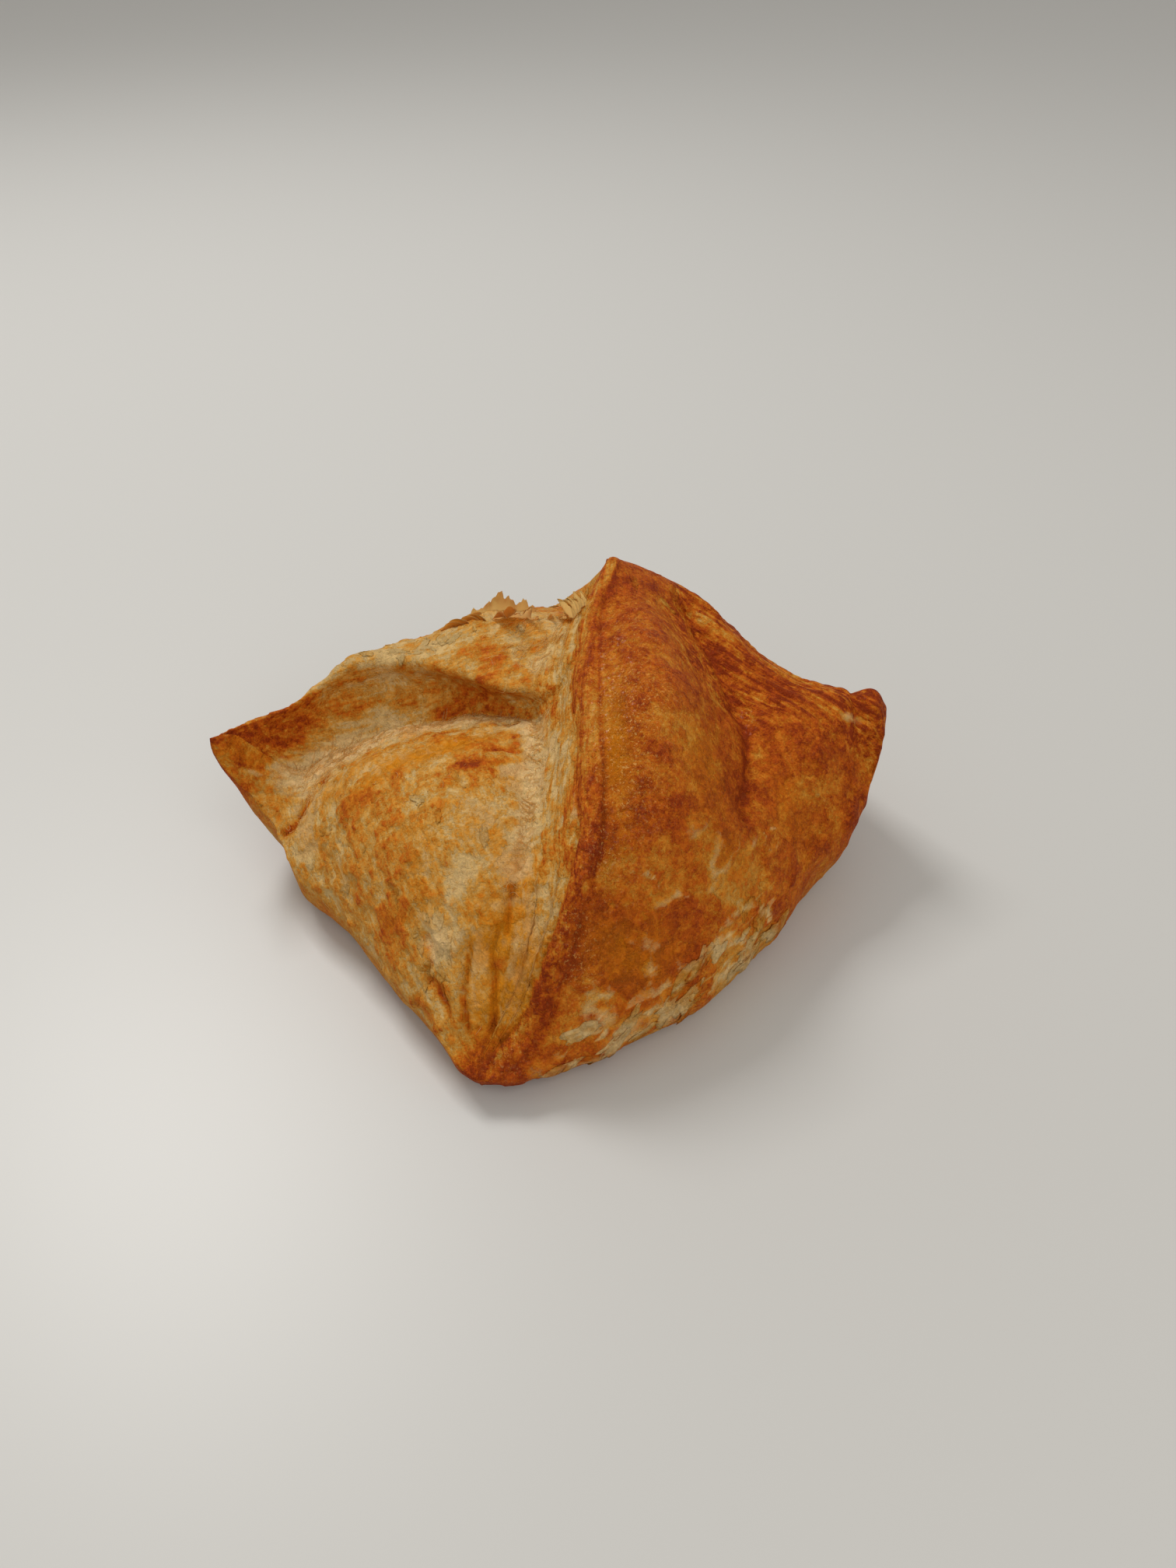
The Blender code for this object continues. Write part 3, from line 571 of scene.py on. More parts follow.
# Painted shade darkens the crease and the deep folds; the raised rims get a little darker.
bake += 0.22 * creased + 0.1 * rims + 0.55 * folded
bake += 0.2 * hump(distance_to(ARCH)(x, y), 1.1) * (is_back | is_wall) * soft((-4 - x) / 4)
bake += (1 - 0.5 * on_right - 0.25 * on_left) * (0.13 * crust_waves(9, 20, 2) + 0.12 * crust_waves(2.4, 21, 2))
bake += mapped * (0.14 * (big_leaf - 0.7) + 0.1 * (small_leaf - 0.6)) + 0.1 * relief - 0.05 * blistered
bake += (on_left + on_back) * (0.12 * (small_leaf - 0.5) + 0.1 * (fine_leaf - 0.5) + 0.11 * (big_leaf - 0.5))
bake += on_right * (1 - mapped) * (1 - rim) * (0.08 * (small_leaf - 0.5) + 0.1 * (fine_leaf - 0.5))
bake += in_cut_edge * (1 - rim) * (0.16 * (strip - 0.5) + 0.12 * crust_grain(ALONG_RIDGE, 9, 1.0, 22, 2))
bake += 0.2 * fan * crust_grain(ALONG_FAN, 16, 1.2, 23, 2)
bake += on_left * 0.14 * crust_grain(ALONG_FLAP, 9, 1.8, 24, 2)
bake += (in_hollow + on_back) * 0.16 * crust_grain(ALONG_ARCH, 8, 1.5, 19, 2)
# The parts below brown a little; the cracks are darkened with painted shade.
bake += 0.06 * below + 0.55 * cracks
print("baked from", round(float(bake.min()), 2), "to", round(float(bake.max()), 2))

# %% [markdown]
# Folds that lay shaded stay pale, and so do torn borders and the layers of the cut edge. Three more numbers say
# where the inner leaves show pale, where the egg wash ran yellow, and where it shines.

# %% Pale leaves, yolk and shine
fibrous = np.clip(0.6 + 0.5 * crust_grain(ALONG_ARCH, 5, 0.8, 25, 2), 0, 1.2)
# The right-hand part of the hollow is kept less pale, as part of the painted shade at its foot.
pale = 1.25 * on_left + in_hollow * (1 - 0.8 * soft((x + 32) / 10))
pale *= hump(from_valley, 3.8) * soft((x + 56) / 8)
pale += 0.75 * rims
pale += 1.35 * hump(from_seam, 2.2) * is_front * soft((y + 46) / 8)
pale = pale * fibrous + spots(PALE) * is_over * (0.75 + 0.5 * crust_waves(2, 32, 3))
pale += 0.3 * hump(from_torn, 3.5) * is_back - 0.6 * patch((-12.4, -16.6), (4, 1.2), 8)
pale_strips = soft((crust_grain(ALONG_RIDGE, 6, 1.6, 33, 3) - 0.3) / 0.1)
pale += in_cut_edge * (1 - rim) * (0.42 * pale_strips + 0.2 * strip_border)
low_edge = hump(distance_to([(3, -57.5), (17, -52), (30, -43.5), (40, -32)])(x, y), 3.0)
low_edge = low_edge * (on_right + 0.5 * below)
pale += 0.5 * np.clip(low_edge, 0, 1) * soft((crust_grain((0.75, 0.6, 0.15), 6, 1.3, 27, 4) - 0.2) / 0.12)
pale += mapped * (0.5 * big_border + 0.2 * small_border) * soft(0.4 + crust_waves(5, 26))
some_borders = fine_border * soft(crust_waves(6, 28) * 2)
pale += (on_left + on_back) * (0.2 * big_border + 0.12 * small_border + 0.12 * some_borders)
# No pale at the front corner, on the rolled rim or in the deep folds, which carry painted shade.
pale *= 1 - np.clip(1.2 * patch((-9, -59.5), (8, 4), 25) + rim + folded, 0, 1)
yolk = spots(YOLK_SPOTS) * is_front * (1 - rim) * soft(0.8 + 0.7 * crust_waves(3, 29, 3))
yolk += 0.3 * on_left * soft(crust_waves(5, 31, 2) * 2)
gloss = 0.12 + 0.6 * blistered + 0.15 * on_right + 0.2 * patch((-18, -12), (12, 6)) + 0.5 * patch((-8, -57), (4, 3))
gloss -= 0.4 * np.clip(pale, 0, 1)
drawn = np.clip(in_hollow + on_back * patch((-30, 12), (34, 10)) + 0.5 * on_back, 0, 1)
layered = in_cut_edge + hump(past_ridge, 2) * is_over * soft((24 - y) / 5)
flaky = 0.18 * on_left + 0.3 * on_back + 0.2 * mapped + 0.08
looks = {"bake": bake, "pale": pale, "yolk": yolk, "gloss": gloss, "fan": fan, "drawn": drawn,
         "layered": layered, "brushed": on_left, "blistered": blistered, "flaky": flaky}
looks = {name: np.clip(value * np.ones_like(x), 0, 1) for name, value in looks.items()}
print({name: round(float(value.mean()), 2) for name, value in looks.items()})

# %% [markdown]
# A mesh is made from whole arrays: the points of the grid, four-sided faces between neighbours, and one number per
# point for each look. Stored numbers follow the surface wherever the piece goes, which a pattern in space would not.


# %% Meshes from arrays
def piece(name, points, faces, numbers, finish=None, thickness=0.0):
    """A smooth mesh object at the origin, from points in millimetres, faces and a number per point for each look."""
    mesh = bpy.data.meshes.new(name)
    corners = faces.tolist() if isinstance(faces, np.ndarray) else faces
    mesh.from_pydata((points.reshape(-1, 3) * MM).tolist(), [], corners)
    for label, values in numbers.items():
        values = np.clip(values * np.ones(points.shape[:-1]), 0, 1).ravel().astype(np.float32)
        mesh.attributes.new(label, "FLOAT", "POINT").data.foreach_set("value", values)
    mesh.shade_smooth()
    made = bpy.data.objects.new(name, mesh)
    bpy.context.scene.collection.objects.link(made)
    if thickness:
        wall = made.modifiers.new("thickness", "SOLIDIFY")
        wall.thickness, wall.offset = thickness * MM, 0
    if finish:
        mesh.materials.append(finish)
    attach(made, "root")
    return made


def grid_faces(rows, size, copies=1, closed=True):
    """Four-sided faces of grids that lie one after another in an array. Each row of a closed one meets itself."""
    start = np.arange(copies)[:, None, None] * rows * size + np.arange(rows - 1)[:, None] * size
    here = np.arange(size if closed else size - 1)
    there = (here + 1) % size
    return np.stack([start + here, start + size + here, start + size + there, start + there], 3).reshape(-1, 4)


def facing_out(points, faces):
    """The faces, turned round if the body they close has a negative volume."""
    a, b, c, d = (points[faces[:, k]] for k in range(4))
    volume = (a * np.cross(b, c)).sum() + (a * np.cross(c, d)).sum()
    return faces if volume > 0 else faces[:, ::-1]


rows, size = crust_points.shape[:2]
crust_faces = facing_out(crust_points.reshape(-1, 3), grid_faces(rows, size))
turned = crust_faces[0, 1] != size
ends = [list(range(size)), list(range((rows - 1) * size, rows * size))[::-1]]
ends = [end[::-1] for end in ends] if turned else ends
crust = piece("baked_crust", crust_points, crust_faces.tolist() + ends, looks)
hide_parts("pastry")
print("crust has", len(crust.data.polygons), "faces")

# %% [markdown]
# A finish is a small network of shader nodes. Written as sums it stays readable: a wire is a socket that can be
# added and multiplied, and every other node comes from one method. Streaks are noise read from a place that is
# squeezed along a direction, so that each speck is drawn out into a line.


# %% Shader sums
class Wire:
    """An output socket that can stand in sums with numbers and other wires."""

    def __init__(self, finish, socket):
        self.finish, self.socket = finish, socket

    def math(self, operation, a, b):
        return self.finish.node("ShaderNodeMath", {"operation": operation}, {0: a, 1: b})

    def __add__(self, other):
        return self.math("ADD", self, other)

    __radd__ = __add__

    def __sub__(self, other):
        return self.math("SUBTRACT", self, other)

    def __rsub__(self, other):
        return self.math("SUBTRACT", other, self)

    def __mul__(self, other):
        return self.math("MULTIPLY", self, other)

    __rmul__ = __mul__

    def held(self):
        """The value kept between 0 and 1."""
        return self.finish.node("ShaderNodeMath", {"operation": "ADD", "use_clamp": True}, {0: self, 1: 0.0})


class Finish:
    """A material and the method that adds its nodes."""

    def __init__(self, name):
        self.material = bpy.data.materials.new(name)
        self.material.use_nodes = True
        self.nodes, self.links = self.material.node_tree.nodes, self.material.node_tree.links
        self.shader = next(node for node in self.nodes if node.type == "BSDF_PRINCIPLED")

    def put(self, node, sockets):
        for key, value in sockets.items():
            if isinstance(value, Wire):
                self.links.new(value.socket, node.inputs[key])
            else:
                node.inputs[key].default_value = value

    def node(self, kind, settings=None, sockets=None, out=0):
        made = self.nodes.new(kind)
        for key, value in (settings or {}).items():
            if key == "stops":
                while len(made.color_ramp.elements) < len(value):
                    made.color_ramp.elements.new(0.5)
                for element, (place, colour) in zip(made.color_ramp.elements, value):
                    element.position, element.color = place, (*colour, 1)
            else:
                setattr(made, key, value)
        self.put(made, sockets or {})
        return Wire(self, made.outputs[out])

    def number(self, name):
        return self.node("ShaderNodeAttribute", {"attribute_name": name}, out="Fac")

    def speckle(self, per_mm, detail=2.0, roughness=0.5, place=None):
        place = place or self.node("ShaderNodeTexCoord", out="Object")
        return self.node("ShaderNodeTexNoise", None, {"Vector": place, "Scale": per_mm * 1000, "Detail": detail,
                                                      "Roughness": roughness})

    def streaks(self, along_it, squeeze, per_mm):
        """Noise at place + direction * (place . direction) * (squeeze - 1), so it is long along the direction."""
        place = self.node("ShaderNodeTexCoord", out="Object")
        along_it = tuple(np.array(along_it, float) / np.linalg.norm(along_it))
        run = self.node("ShaderNodeVectorMath", {"operation": "DOT_PRODUCT"}, {0: place, 1: along_it}, out="Value")
        back = self.node("ShaderNodeVectorMath", {"operation": "SCALE"}, {0: along_it, "Scale": run * (squeeze - 1)})
        moved = self.node("ShaderNodeVectorMath", {"operation": "ADD"}, {0: place, 1: back})
        return self.speckle(per_mm, 2.0, 0.6, moved)

    def blend(self, share, a, b):
        return self.node("ShaderNodeMix", {"data_type": "RGBA"}, {0: share, 6: a, 7: b}, out=2)


# %% [markdown]
# The ramp's stops are linear colours, from pale dough over gold to dark brown. The pale number mixes in the cream of
# the inner leaves, and the yolk number a strong yellow. Small bright specks over the blisters are a painted
# highlight, standing for the sparkle of the egg wash. Where it shines the roughness falls and a clear coat rises. The
# bump adds, in millimetres, what is finer than the mesh: streaks, blisters and the tooth of the crust. Thin leaves
# let some light through.

# %% Crust finish
BAKED = [(0.0, (0.68, 0.45, 0.18)), (0.20, (0.66, 0.34, 0.070)), (0.40, (0.64, 0.250, 0.026)),
         (0.55, (0.60, 0.175, 0.012)), (0.70, (0.52, 0.110, 0.006)), (0.85, (0.41, 0.067, 0.005)),
         (1.0, (0.27, 0.034, 0.0045))]
CREAM, YOLK, PAINTED_GLINT = (0.80, 0.535, 0.24, 1), (0.68, 0.235, 0.004, 1), (0.98, 0.58, 0.17, 1)


def baked_finish(name, thin=0.0):
    """The crust's material. thin makes a flake let some light through by mixing in a translucent shader."""
    finish = Finish(name)
    fine, coarse, tiny = finish.speckle(1.3, 5, 0.7), finish.speckle(0.45, 4, 0.6), finish.speckle(5.0, 2, 0.6)
    leaf = ((finish.speckle(0.3, 6, 0.66) - 0.5) * 14 + 0.5).held()
    thin_leaf = ((finish.speckle(0.75, 5, 0.66) - 0.53) * 11 + 0.5).held()
    lines = ((finish.streaks(ALONG_FAN, 0.05, 1.3) - 0.5) * finish.number("fan") * 1.3
             + (finish.streaks(ALONG_RIDGE, 0.09, 1.8) - 0.5) * finish.number("layered")
             + (finish.streaks(ALONG_ARCH, 0.12, 1.1) - 0.5) * finish.number("drawn") * 0.8
             + (finish.streaks(ALONG_FLAP, 0.2, 1.2) - 0.5) * finish.number("brushed") * 0.7)
    blisters = finish.number("blistered")
    grit = finish.speckle(2.6, 3, 0.75)
    # The number read here holds both the browning and the painted shade of the folds, cracks and crease.
    bake_and_shade_level = finish.number("bake") + (fine - 0.5) * 0.6 + (grit - 0.5) * 0.4 + (coarse - 0.5) * 0.3 + lines * 1.1
    bake_and_shade_level = bake_and_shade_level + (tiny - 0.5) * blisters * 0.8
    border = leaf * (1 - leaf) * 1.4 + thin_leaf * (1 - thin_leaf)
    pale = (finish.number("pale") * (0.2 + fine * 1.5) + border * finish.number("flaky")).held()
    bake_and_shade_level = bake_and_shade_level + (leaf - 0.5) * 0.12 + (thin_leaf - 0.5) * 0.1 - pale * 0.6
    colour = finish.node("ShaderNodeValToRGB", {"stops": BAKED}, {0: bake_and_shade_level.held()})
    colour = finish.blend((pale * 1.5 - 0.45).held(), colour, CREAM)
    colour = finish.blend((finish.number("yolk") * (0.4 + coarse * 0.9)).held() * 0.9, colour, YOLK)
    # Painted highlight: bright specks mixed into the colour over the blisters.
    painted_glints = ((finish.speckle(1.9, 4, 0.7) - 0.565) * 11).held()
    colour = finish.blend(painted_glints * (blisters + 0.08).held() * 0.6, colour, PAINTED_GLINT)
    gloss = finish.number("gloss")
    sparks = (finish.speckle(1.4, 3, 0.65) * 5 - 2.75).held()
    height = fine * 0.35 + coarse * 0.3 + grit * 0.08 + lines * 0.5 + leaf * 0.2 + thin_leaf * 0.13
    height = height + tiny * (blisters * 0.3 + 0.05)
    bump = finish.node("ShaderNodeBump", None, {"Strength": 1.0, "Distance": 0.001, "Height": height})
    finish.put(finish.shader, {"Base Color": colour, "Roughness": (0.66 - gloss * 0.3).held(),
                               "Coat Weight": (gloss * sparks * 0.6).held(), "Coat Roughness": 0.22, "Normal": bump,
                               "Specular IOR Level": 0.06, "Subsurface Weight": 0.05,
                               "Subsurface Radius": (1.0, 0.4, 0.15), "Subsurface Scale": 0.001})
    if thin:
        light_through = finish.blend(0.75, colour, (1.0, 0.85, 0.52, 1))
        through = finish.node("ShaderNodeBsdfTranslucent", None, {"Color": light_through})
        solid = Wire(finish, finish.shader.outputs[0])
        both = finish.node("ShaderNodeMixShader", None, {0: thin, 1: solid, 2: through})
        output = next(node for node in finish.nodes if node.type == "OUTPUT_MATERIAL")
        finish.put(output, {"Surface": both})
    return finish.material


crust_finish = baked_finish("baked_crust")
flake_finish, torn_finish = baked_finish("thin_flake", 0.15), baked_finish("torn_leaf", 0.88)
crust.data.materials.append(crust_finish)
print("finishes:", crust_finish.name, flake_finish.name, torn_finish.name)

# %% [markdown]
# Loose leaves lie on the crust, so they are placed on its grid: a place is a section number and a point number, and
# a step in millimetres becomes a step in those numbers through the grid's local spacing. That keeps each leaf on
# the surface however the crust bends.

# %% Places on the crust
step_ahead = np.linalg.norm(np.gradient(crust_points, axis=0), axis=2)
step_round = np.linalg.norm(np.roll(crust_points, -1, 1) - np.roll(crust_points, 1, 1), axis=2) / 2
kept = [looks[name] for name in ("bake", "pale", "yolk", "gloss")]
fields = np.concatenate([crust_points, smooth_normal, np.stack([step_ahead, step_round, *kept], -1)], 2)
AT_POINT, AT_NORMAL = slice(0, 3), slice(3, 6)
AT_AHEAD, AT_ROUND, AT_BAKE_AND_SHADE, AT_PALE, AT_YOLK, AT_GLOSS = range(6, 12)
first_front = STRETCHES["under_front"]
first_wall = first_front + STRETCHES["over_front"]
first_back = first_wall + STRETCHES["wall"]
last_back = first_back + STRETCHES["over_back"]


def sample(i, j):
    """All fields of the grid at fractional places, blended between the four nearest points."""
    i, j = np.clip(i, 0, rows - 1.001), np.clip(j, 0, size - 1.001)
    a, b = np.floor(i).astype(int), np.floor(j).astype(int)
    s, t = (i - a)[..., None], (j - b)[..., None]
    return ((fields[a, b] * (1 - s) + fields[a + 1, b] * s) * (1 - t)
            + (fields[a, b + 1] * (1 - s) + fields[a + 1, b + 1] * s) * t)


def place_on(x_mm, y_mm, low, high):
    """The grid place over (x, y) between two point numbers of the sections."""
    i = np.interp(x_mm, crust_points[:, 0, 0], np.arange(rows))
    row = smooth_crust[int(round(i)), low:high, 1]
    return i, low + np.interp(y_mm, row, np.arange(high - low))


def places(points, behind=False):
    low, high = (first_back, last_back) if behind else (first_front, first_wall)
    return np.array([place_on(px, py, low, high) for px, py in points])


print("middle of the front lies at place", np.round(places([(-20, -20)])[0], 1))

# %% [markdown]
# A flake is a thin round leaf with a torn outline, lying on the crust with one side curled up. Its points are rings
# round a centre: the outline's radius wavers with the angle, and the lift grows with the square of the radius on
# the curled side. All the flakes of a region are made at once as one array.


# %% Flakes
def flakes(name, at, reach, lift, seed, stretch=1.6, turn=None, rings=5, spokes=22, browner=0.0, paler=0.2):
    """Leaves on the crust. at holds grid places, reach and lift are millimetres."""
    random = np.random.default_rng(seed)
    count = len(at)
    angle = np.linspace(0, 2 * np.pi, spokes, endpoint=False)[None, None, :]
    ring = np.linspace(0, 1, rings)[None, :, None] ** 0.8
    reach = reach * random.uniform(0.4, 1.3, count)
    lift = lift * random.uniform(0.3, 1.4, count)
    turn = random.uniform(0, np.pi, count) if turn is None else turn + random.normal(0, 0.4, count)
    each = (count, 1, 1)
    torn = 1 + sum(random.normal(0, 0.26 / n**0.7, each) * np.cos(n * angle + random.uniform(0, 6.3, each))
                   for n in range(2, 10))
    radius = ring * reach[:, None, None] * np.clip(torn, 0.4, 1.6)
    a, b = radius * np.cos(angle) * stretch, radius * np.sin(angle)
    cos, sin = np.cos(turn)[:, None, None], np.sin(turn)[:, None, None]
    ahead, round_ = a * cos - b * sin, a * sin + b * cos
    here = sample(at[:, 0], at[:, 1])[:, None, None, :]
    got = sample(at[:, 0, None, None] + ahead / here[..., AT_AHEAD],
                 at[:, 1, None, None] + round_ / here[..., AT_ROUND])
    curl_side = random.uniform(0, 2 * np.pi, each)
    curl = np.clip(0.1 + 0.9 * np.cos(angle - curl_side), 0, 1) * ring**2
    points = got[..., AT_POINT] + got[..., AT_NORMAL] * (0.03 + lift[:, None, None] * curl)[..., None]
    numbers = {"bake": got[..., AT_BAKE_AND_SHADE] + browner + 0.05 * ring**3 + random.normal(0, 0.05, each),
               "pale": got[..., AT_PALE] + paler * random.uniform(0.2, 1.6, each),
               "yolk": got[..., AT_YOLK], "gloss": got[..., AT_GLOSS] * 0.6}
    piece(name, points, grid_faces(rings, spokes, count)[:, ::-1], numbers, flake_finish, thickness=0.08)
    print(name, count, "leaves")


random = np.random.default_rng(SEED)


def scatter(count, middle, spread, turn=0.0, behind=False):
    """Grid places scattered round a middle with the given spread along and across a turned line."""
    a, b = random.normal(0, spread[0], count), random.normal(0, spread[1], count)
    cos, sin = math.cos(math.radians(turn)), math.sin(math.radians(turn))
    return places(np.c_[middle[0] + a * cos - b * sin, middle[1] + a * sin + b * cos], behind)


def beside(curve, count, spread):
    """Grid places scattered beside a curve in plan."""
    line = along(np.array(curve, float)[:, :2], 300)
    return places(line[random.integers(0, 300, count)] + random.normal(0, spread, (count, 2)))


flakes("lower_edge_flakes", beside([(0, -58), (17, -52), (30, -43), (40, -32)], 36, 1.2), 1.2, 0.3, SEED + 40,
       stretch=2.4, turn=0.6, browner=-0.1, paler=0.35)
flakes("left_flap_flakes", np.concatenate([scatter(12, (-22, -26), (11, 11)), scatter(20, (-18, -46), (2, 3))]), 0.8,
       0.14, SEED + 41, 2.2, paler=0.15)
back_places = [scatter(count, middle, spread, 0, True) for count, middle, spread in
               ((16, (-22, 16), (10, 3)), (30, (30, 30), (14, 9)), (34, (-10, 38), (16, 8)))]
flakes("back_flakes", np.concatenate(back_places), 0.9, 0.16, SEED + 43, 2.2, browner=-0.05, paler=0.2)

# %% [markdown]
# The cut edge of laminated dough opens into leaves as it bakes. Each leaf here is a ribbon that starts just inside
# the crust and stands out along the normal, on a line of equal distance from the ridge near the front corner. Its
# free edge is ragged, and it has another brown than the foot.


# %% Ribbons
def ribbon(name, at, height, seed, steps=5, browner=0.1, lean=(0, 0, 0), thickness=0.14, paler=0.1, ragged=0.45):
    """A leaf that stands on a line of grid places: point = surface + normal * height * v, bent by lean * v^2."""
    got = sample(at[:, 0], at[:, 1])
    base = got[:, AT_POINT]
    travelled = np.r_[0, np.cumsum(np.linalg.norm(np.diff(base, axis=0), axis=1))]

    def wavering(per, extra):
        return waves_along(travelled / per, 1, seed + extra)

    tall = height * np.clip(0.75 + ragged * (wavering(3.1, 0) + wavering(0.8, 1) + 0.5 * wavering(0.4, 2)), 0.1, 2)
    tall *= soft(travelled / 2) * soft((travelled[-1] - travelled) / 2)
    v = np.linspace(0, 1, steps)[None, :]
    way = np.gradient(base, axis=0)
    way /= np.linalg.norm(way, axis=1, keepdims=True) + 1e-9
    normal = got[:, AT_NORMAL]
    normal = normal + 0.5 * wavering(2.3, 3)[:, None] * np.cross(normal, way)
    rise = (tall + 0.3)[:, None] * v - 0.25
    bent = np.array(lean, float) * (tall[:, None] * v**2)[..., None]
    points = base[:, None] + normal[:, None] * rise[..., None] + bent
    numbers = {"bake": got[:, AT_BAKE_AND_SHADE, None] + browner * v**2 + wavering(1.6, 4)[:, None] * 0.1,
               "pale": got[:, AT_PALE, None] + paler * (0.4 + 0.6 * v), "yolk": got[:, AT_YOLK, None],
               "gloss": got[:, AT_GLOSS, None] * 0.6}
    piece(name, points, grid_faces(len(at), steps, closed=False), numbers, flake_finish, thickness)


for number, share in enumerate((0.35, 0.7)):
    line_y = np.linspace(random.uniform(-58, -55), random.uniform(-44, -38), 120)
    line_x = ridge_x(line_y) - cut_edge_width(line_y) * (1 - share)
    line_x = line_x + 0.5 * waves_along(line_y, 6, SEED + 60 + number)
    ribbon(f"cut_leaf_{number}", places(np.c_[line_x, line_y]), random.uniform(0.12, 0.28), SEED + 70 + number,
           lean=(-0.4, -0.1, 0.1), browner=-0.04, paler=0.25)
print("ribbons ready")

# %% [markdown]
# Between the flaps at the top the leaves tore as the corner was lifted. Each torn leaf is a small sheet on two
# parameters, across its foot and up its height. Its section is an arc, so it bends over to one side, and its outline
# is notched by waves of the cross parameter.


# %% Torn leaves
def torn_sheet(name, foot, tall, over, bend, seed, browner=0.0, paler=0.3, across=44, up=12):
    """A sheet from its foot on the crust: up by sin(bend v) / bend and over by (1 - cos(bend v)) / bend."""
    u = np.linspace(0, 1, across)
    got = sample(*places(along(foot, across), behind=True).T)
    at = 7 * u
    notch = 0.45 * waves_along(at, 1.3, seed) + 0.4 * waves_along(at, 0.45, seed + 1)
    notch = notch + 0.2 * waves_along(at, 0.2, seed + 2)
    length = tall * np.clip(0.75 + notch, 0.12, 1.6) * soft(u / 0.12) ** 0.5 * soft((1 - u) / 0.12) ** 0.5
    v = np.linspace(0, 1, up)[None, :]
    turn = bend * (1 + 0.35 * waves_along(at, 1.8, seed + 3))[:, None] * v
    rise = np.sin(turn) / bend * length[:, None] - 0.5 * (1 - v)
    lean = (1 - np.cos(turn)) / bend * length[:, None] + 0.5 * waves_along(at, 0.9, seed + 4)[:, None] * v
    upright = np.array([0, -0.15, 0.99])
    points = got[:, None, AT_POINT] + upright * rise[..., None] + np.array(over, float) * lean[..., None]
    numbers = {"bake": 0.2 + browner + 0.2 * v**3 + 0.25 * waves(points, 1.5, seed + 5, 2),
               "pale": paler * (1 - 0.5 * v), "yolk": 0.15, "gloss": 0.15}
    piece(name, points, grid_faces(across, up, closed=False), numbers, torn_finish, thickness=0.12)


TORN_LEAVES = {"left": ([(-22.5, 20.6), (-18.5, 20.2), (-14.5, 19.2)], 6.6, (0.9, -0.5, 0), 2.2, 116, 0.1, 0.1),
               "middle": ([(-11.5, 17.8), (-7, 17), (-2.4, 16)], 6.2, (0.4, -0.9, 0.2), 1.7, 117, 0.38, 0.0),
               "right": ([(3.2, 15.9), (5, 15.6), (7.2, 15)], 7.2, (-0.5, -0.5, 0), 1.3, 112, -0.15, 0.5),
               "small": ([(-1, 16), (1.6, 15.8), (4.2, 15.4)], 2.6, (0.2, -0.8, 0), 1.8, 113, 0.1, 0.1),
               "behind": ([(-16, 22), (-10, 21.4), (-3, 20)], 4.2, (0.3, 0.6, 0), 1.0, 114, 0.1, 0.1)}
for where, (foot, tall, over, bend, number, browner, paler) in TORN_LEAVES.items():
    torn_sheet(f"torn_{where}", foot, tall, over, bend, SEED + number, browner, paler)
print("torn leaves ready")

# %% [markdown]
# In the folds that stayed pale the dough pulled into fibres. Each fibre is a thin four-sided tube along a short
# curve over the crust, thinning to both ends, and a few hundred of them make the fuzzy look of the fold.


# %% Fibres
SIDES = 4


def fibres(name, at, length, lift, turn, seed, steps=9, radius=0.05):
    """Tubes on the crust: the middle line runs along a turned direction and rises as a cosine, and the radius
    falls to both ends as the root of that cosine."""
    random = np.random.default_rng(seed)
    count = len(at)
    s = np.linspace(-0.5, 0.5, steps)[None, :]
    length = (length * random.uniform(0.5, 1.5, count))[:, None]
    angle = (turn + random.normal(0, 0.5, count))[:, None] + random.normal(0, 0.8, (count, 1)) * s
    here = sample(at[:, 0], at[:, 1])[:, None]
    i = at[:, :1] + s * length * np.cos(angle) / here[..., AT_AHEAD]
    j = at[:, 1:] + s * length * np.sin(angle) / here[..., AT_ROUND]
    got = sample(i, j)
    arch = np.cos(np.pi * s)
    above = 0.04 + lift * arch * random.uniform(0.2, 1.3, (count, 1))
    middle = got[..., AT_POINT] + got[..., AT_NORMAL] * above[..., None]
    run = np.gradient(middle, axis=1)
    run /= np.linalg.norm(run, axis=2, keepdims=True) + 1e-9
    side = np.cross(run, got[..., AT_NORMAL])
    side /= np.linalg.norm(side, axis=2, keepdims=True) + 1e-9
    up = np.cross(side, run)
    corner = np.arange(SIDES) * 2 * np.pi / SIDES
    thick = radius * (0.25 + 0.75 * np.sqrt(np.clip(arch, 0, 1))) * random.uniform(0.6, 1.5, (count, 1))
    around = side[:, :, None] * np.cos(corner)[:, None] + up[:, :, None] * np.sin(corner)[:, None]
    points = middle[:, :, None] + thick[..., None, None] * around
    numbers = {"bake": random.uniform(0, 0.25, (count, 1, 1)), "pale": 0.95, "yolk": 0, "gloss": 0}
    piece(name, points, grid_faces(steps, SIDES, count)[:, ::-1], numbers, torn_finish)
    print(name, count, "fibres")


LEFT_BORDER = [(-49, -13), (-46, -9), (-43, -5), (-40, 0)]

fibres("valley_fibres", beside(VALLEY[:5], 170, 1.5), 3.0, 0.35, 0.5, SEED + 120, radius=0.06)
fibres("seam_fibres", beside(SEAM[2:], 130, 1.0), 2.2, 0.3, 0.4, SEED + 121, radius=0.055)
fibres("torn_fibres", scatter(90, (-2, 9), (4, 5), 20, True), 3.2, 0.4, 0.9, SEED + 123, radius=0.07)
fibres("flap_fibres", scatter(70, (-24, -24), (12, 12)), 1.7, 0.1, 1.2, SEED + 122, radius=0.04)
fibres("border_fibres", beside(LEFT_BORDER, 60, 1.3), 2.6, 0.35, 1.0, SEED + 124, radius=0.06)

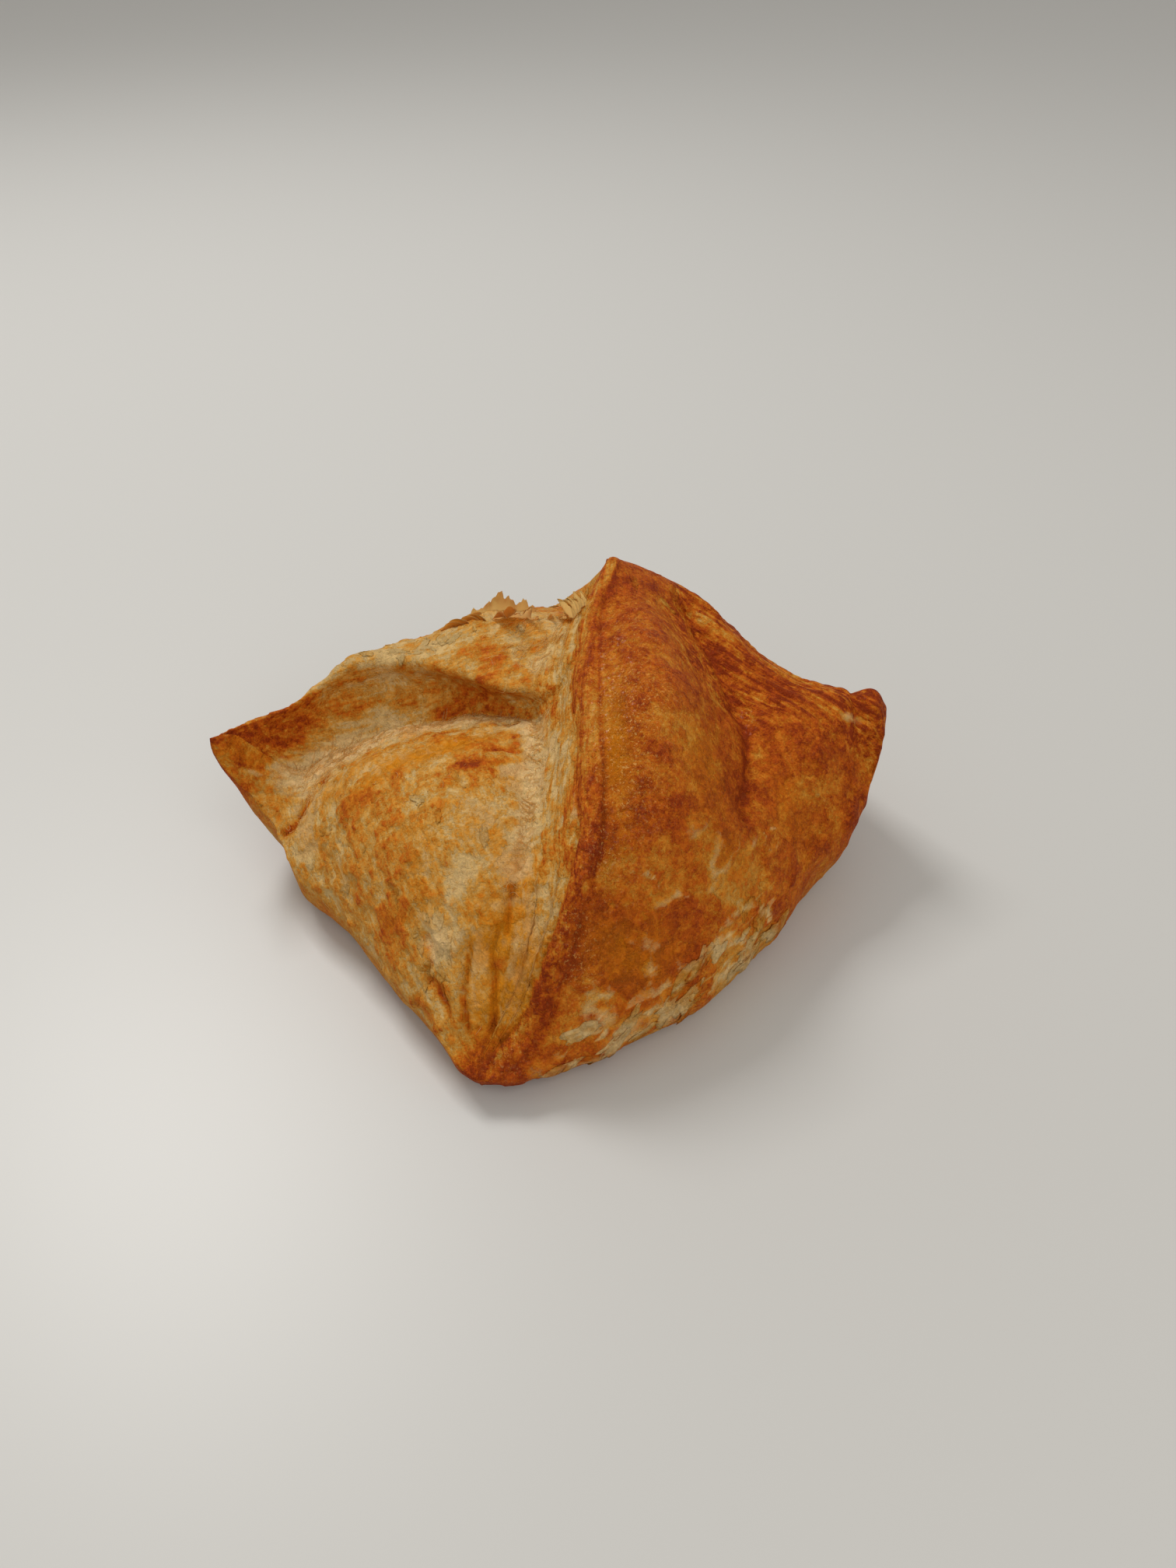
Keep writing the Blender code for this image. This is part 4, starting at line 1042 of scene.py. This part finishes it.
# %% [markdown]
# The studio is a pale floor, a soft light over the back left and a wider, weaker one in front, in a pale grey room.
# The camera looks down at forty degrees with a wide lens, close to the pastry, which is why the front looks large.

# %% Floor, light and camera
bpy.ops.mesh.primitive_plane_add(size=3)
floor = bpy.context.object
floor.name = "floor"
floor_finish = Finish("pale_floor")
floor_finish.put(floor_finish.shader, {"Base Color": (0.565, 0.56, 0.54, 1), "Roughness": 0.4})
floor.data.materials.append(floor_finish.material)
LIT_PLACE = (0, 0, 0.02)


def soft_light(name, place, width, watts, colour):
    """A square area light at a place in metres, turned to the middle of the pastry."""
    light = bpy.data.lights.new(name, "AREA")
    light.size, light.energy, light.color = width, watts, colour
    lamp = bpy.data.objects.new(name, light)
    bpy.context.scene.collection.objects.link(lamp)
    away = Vector(place) - Vector(LIT_PLACE)
    lamp.matrix_world = Matrix.Translation(place) @ away.to_track_quat("Z", "Y").to_matrix().to_4x4()


soft_light("over_back_left", (-0.35, 0.40, 0.75), 0.3, 3.9, (1.0, 0.99, 0.975))
soft_light("front_fill", (0.3, -0.7, 0.8), 0.8, 3.5, (1.0, 0.97, 0.92))
world = bpy.data.worlds.new("room")
bpy.context.scene.world = world
world.use_nodes = True
background = world.node_tree.nodes["Background"]
background.inputs["Color"].default_value = (0.93, 0.90, 0.85, 1)
background.inputs["Strength"].default_value = 0.52

CAMERA_PLACE, DOWN, ROLL = (0.0068, -0.1767, 0.1650), 39.9, -0.5
FOCAL_PIXELS, FRAME_HEIGHT = 1514.0, 2016
camera = bpy.data.objects.new("camera", bpy.data.cameras.new("camera"))
camera.data.sensor_width = 36.0
camera.data.lens = FOCAL_PIXELS / FRAME_HEIGHT * camera.data.sensor_width
camera.data.clip_start = 0.01
camera.matrix_world = (Matrix.Translation(CAMERA_PLACE) @ Matrix.Rotation(math.radians(90 - DOWN), 4, "X")
                       @ Matrix.Rotation(math.radians(ROLL), 4, "Z"))
bpy.context.scene.collection.objects.link(camera)
bpy.context.scene.camera = camera
bpy.context.scene.view_settings.view_transform = "Standard"
print("lens", round(camera.data.lens, 2), "mm")
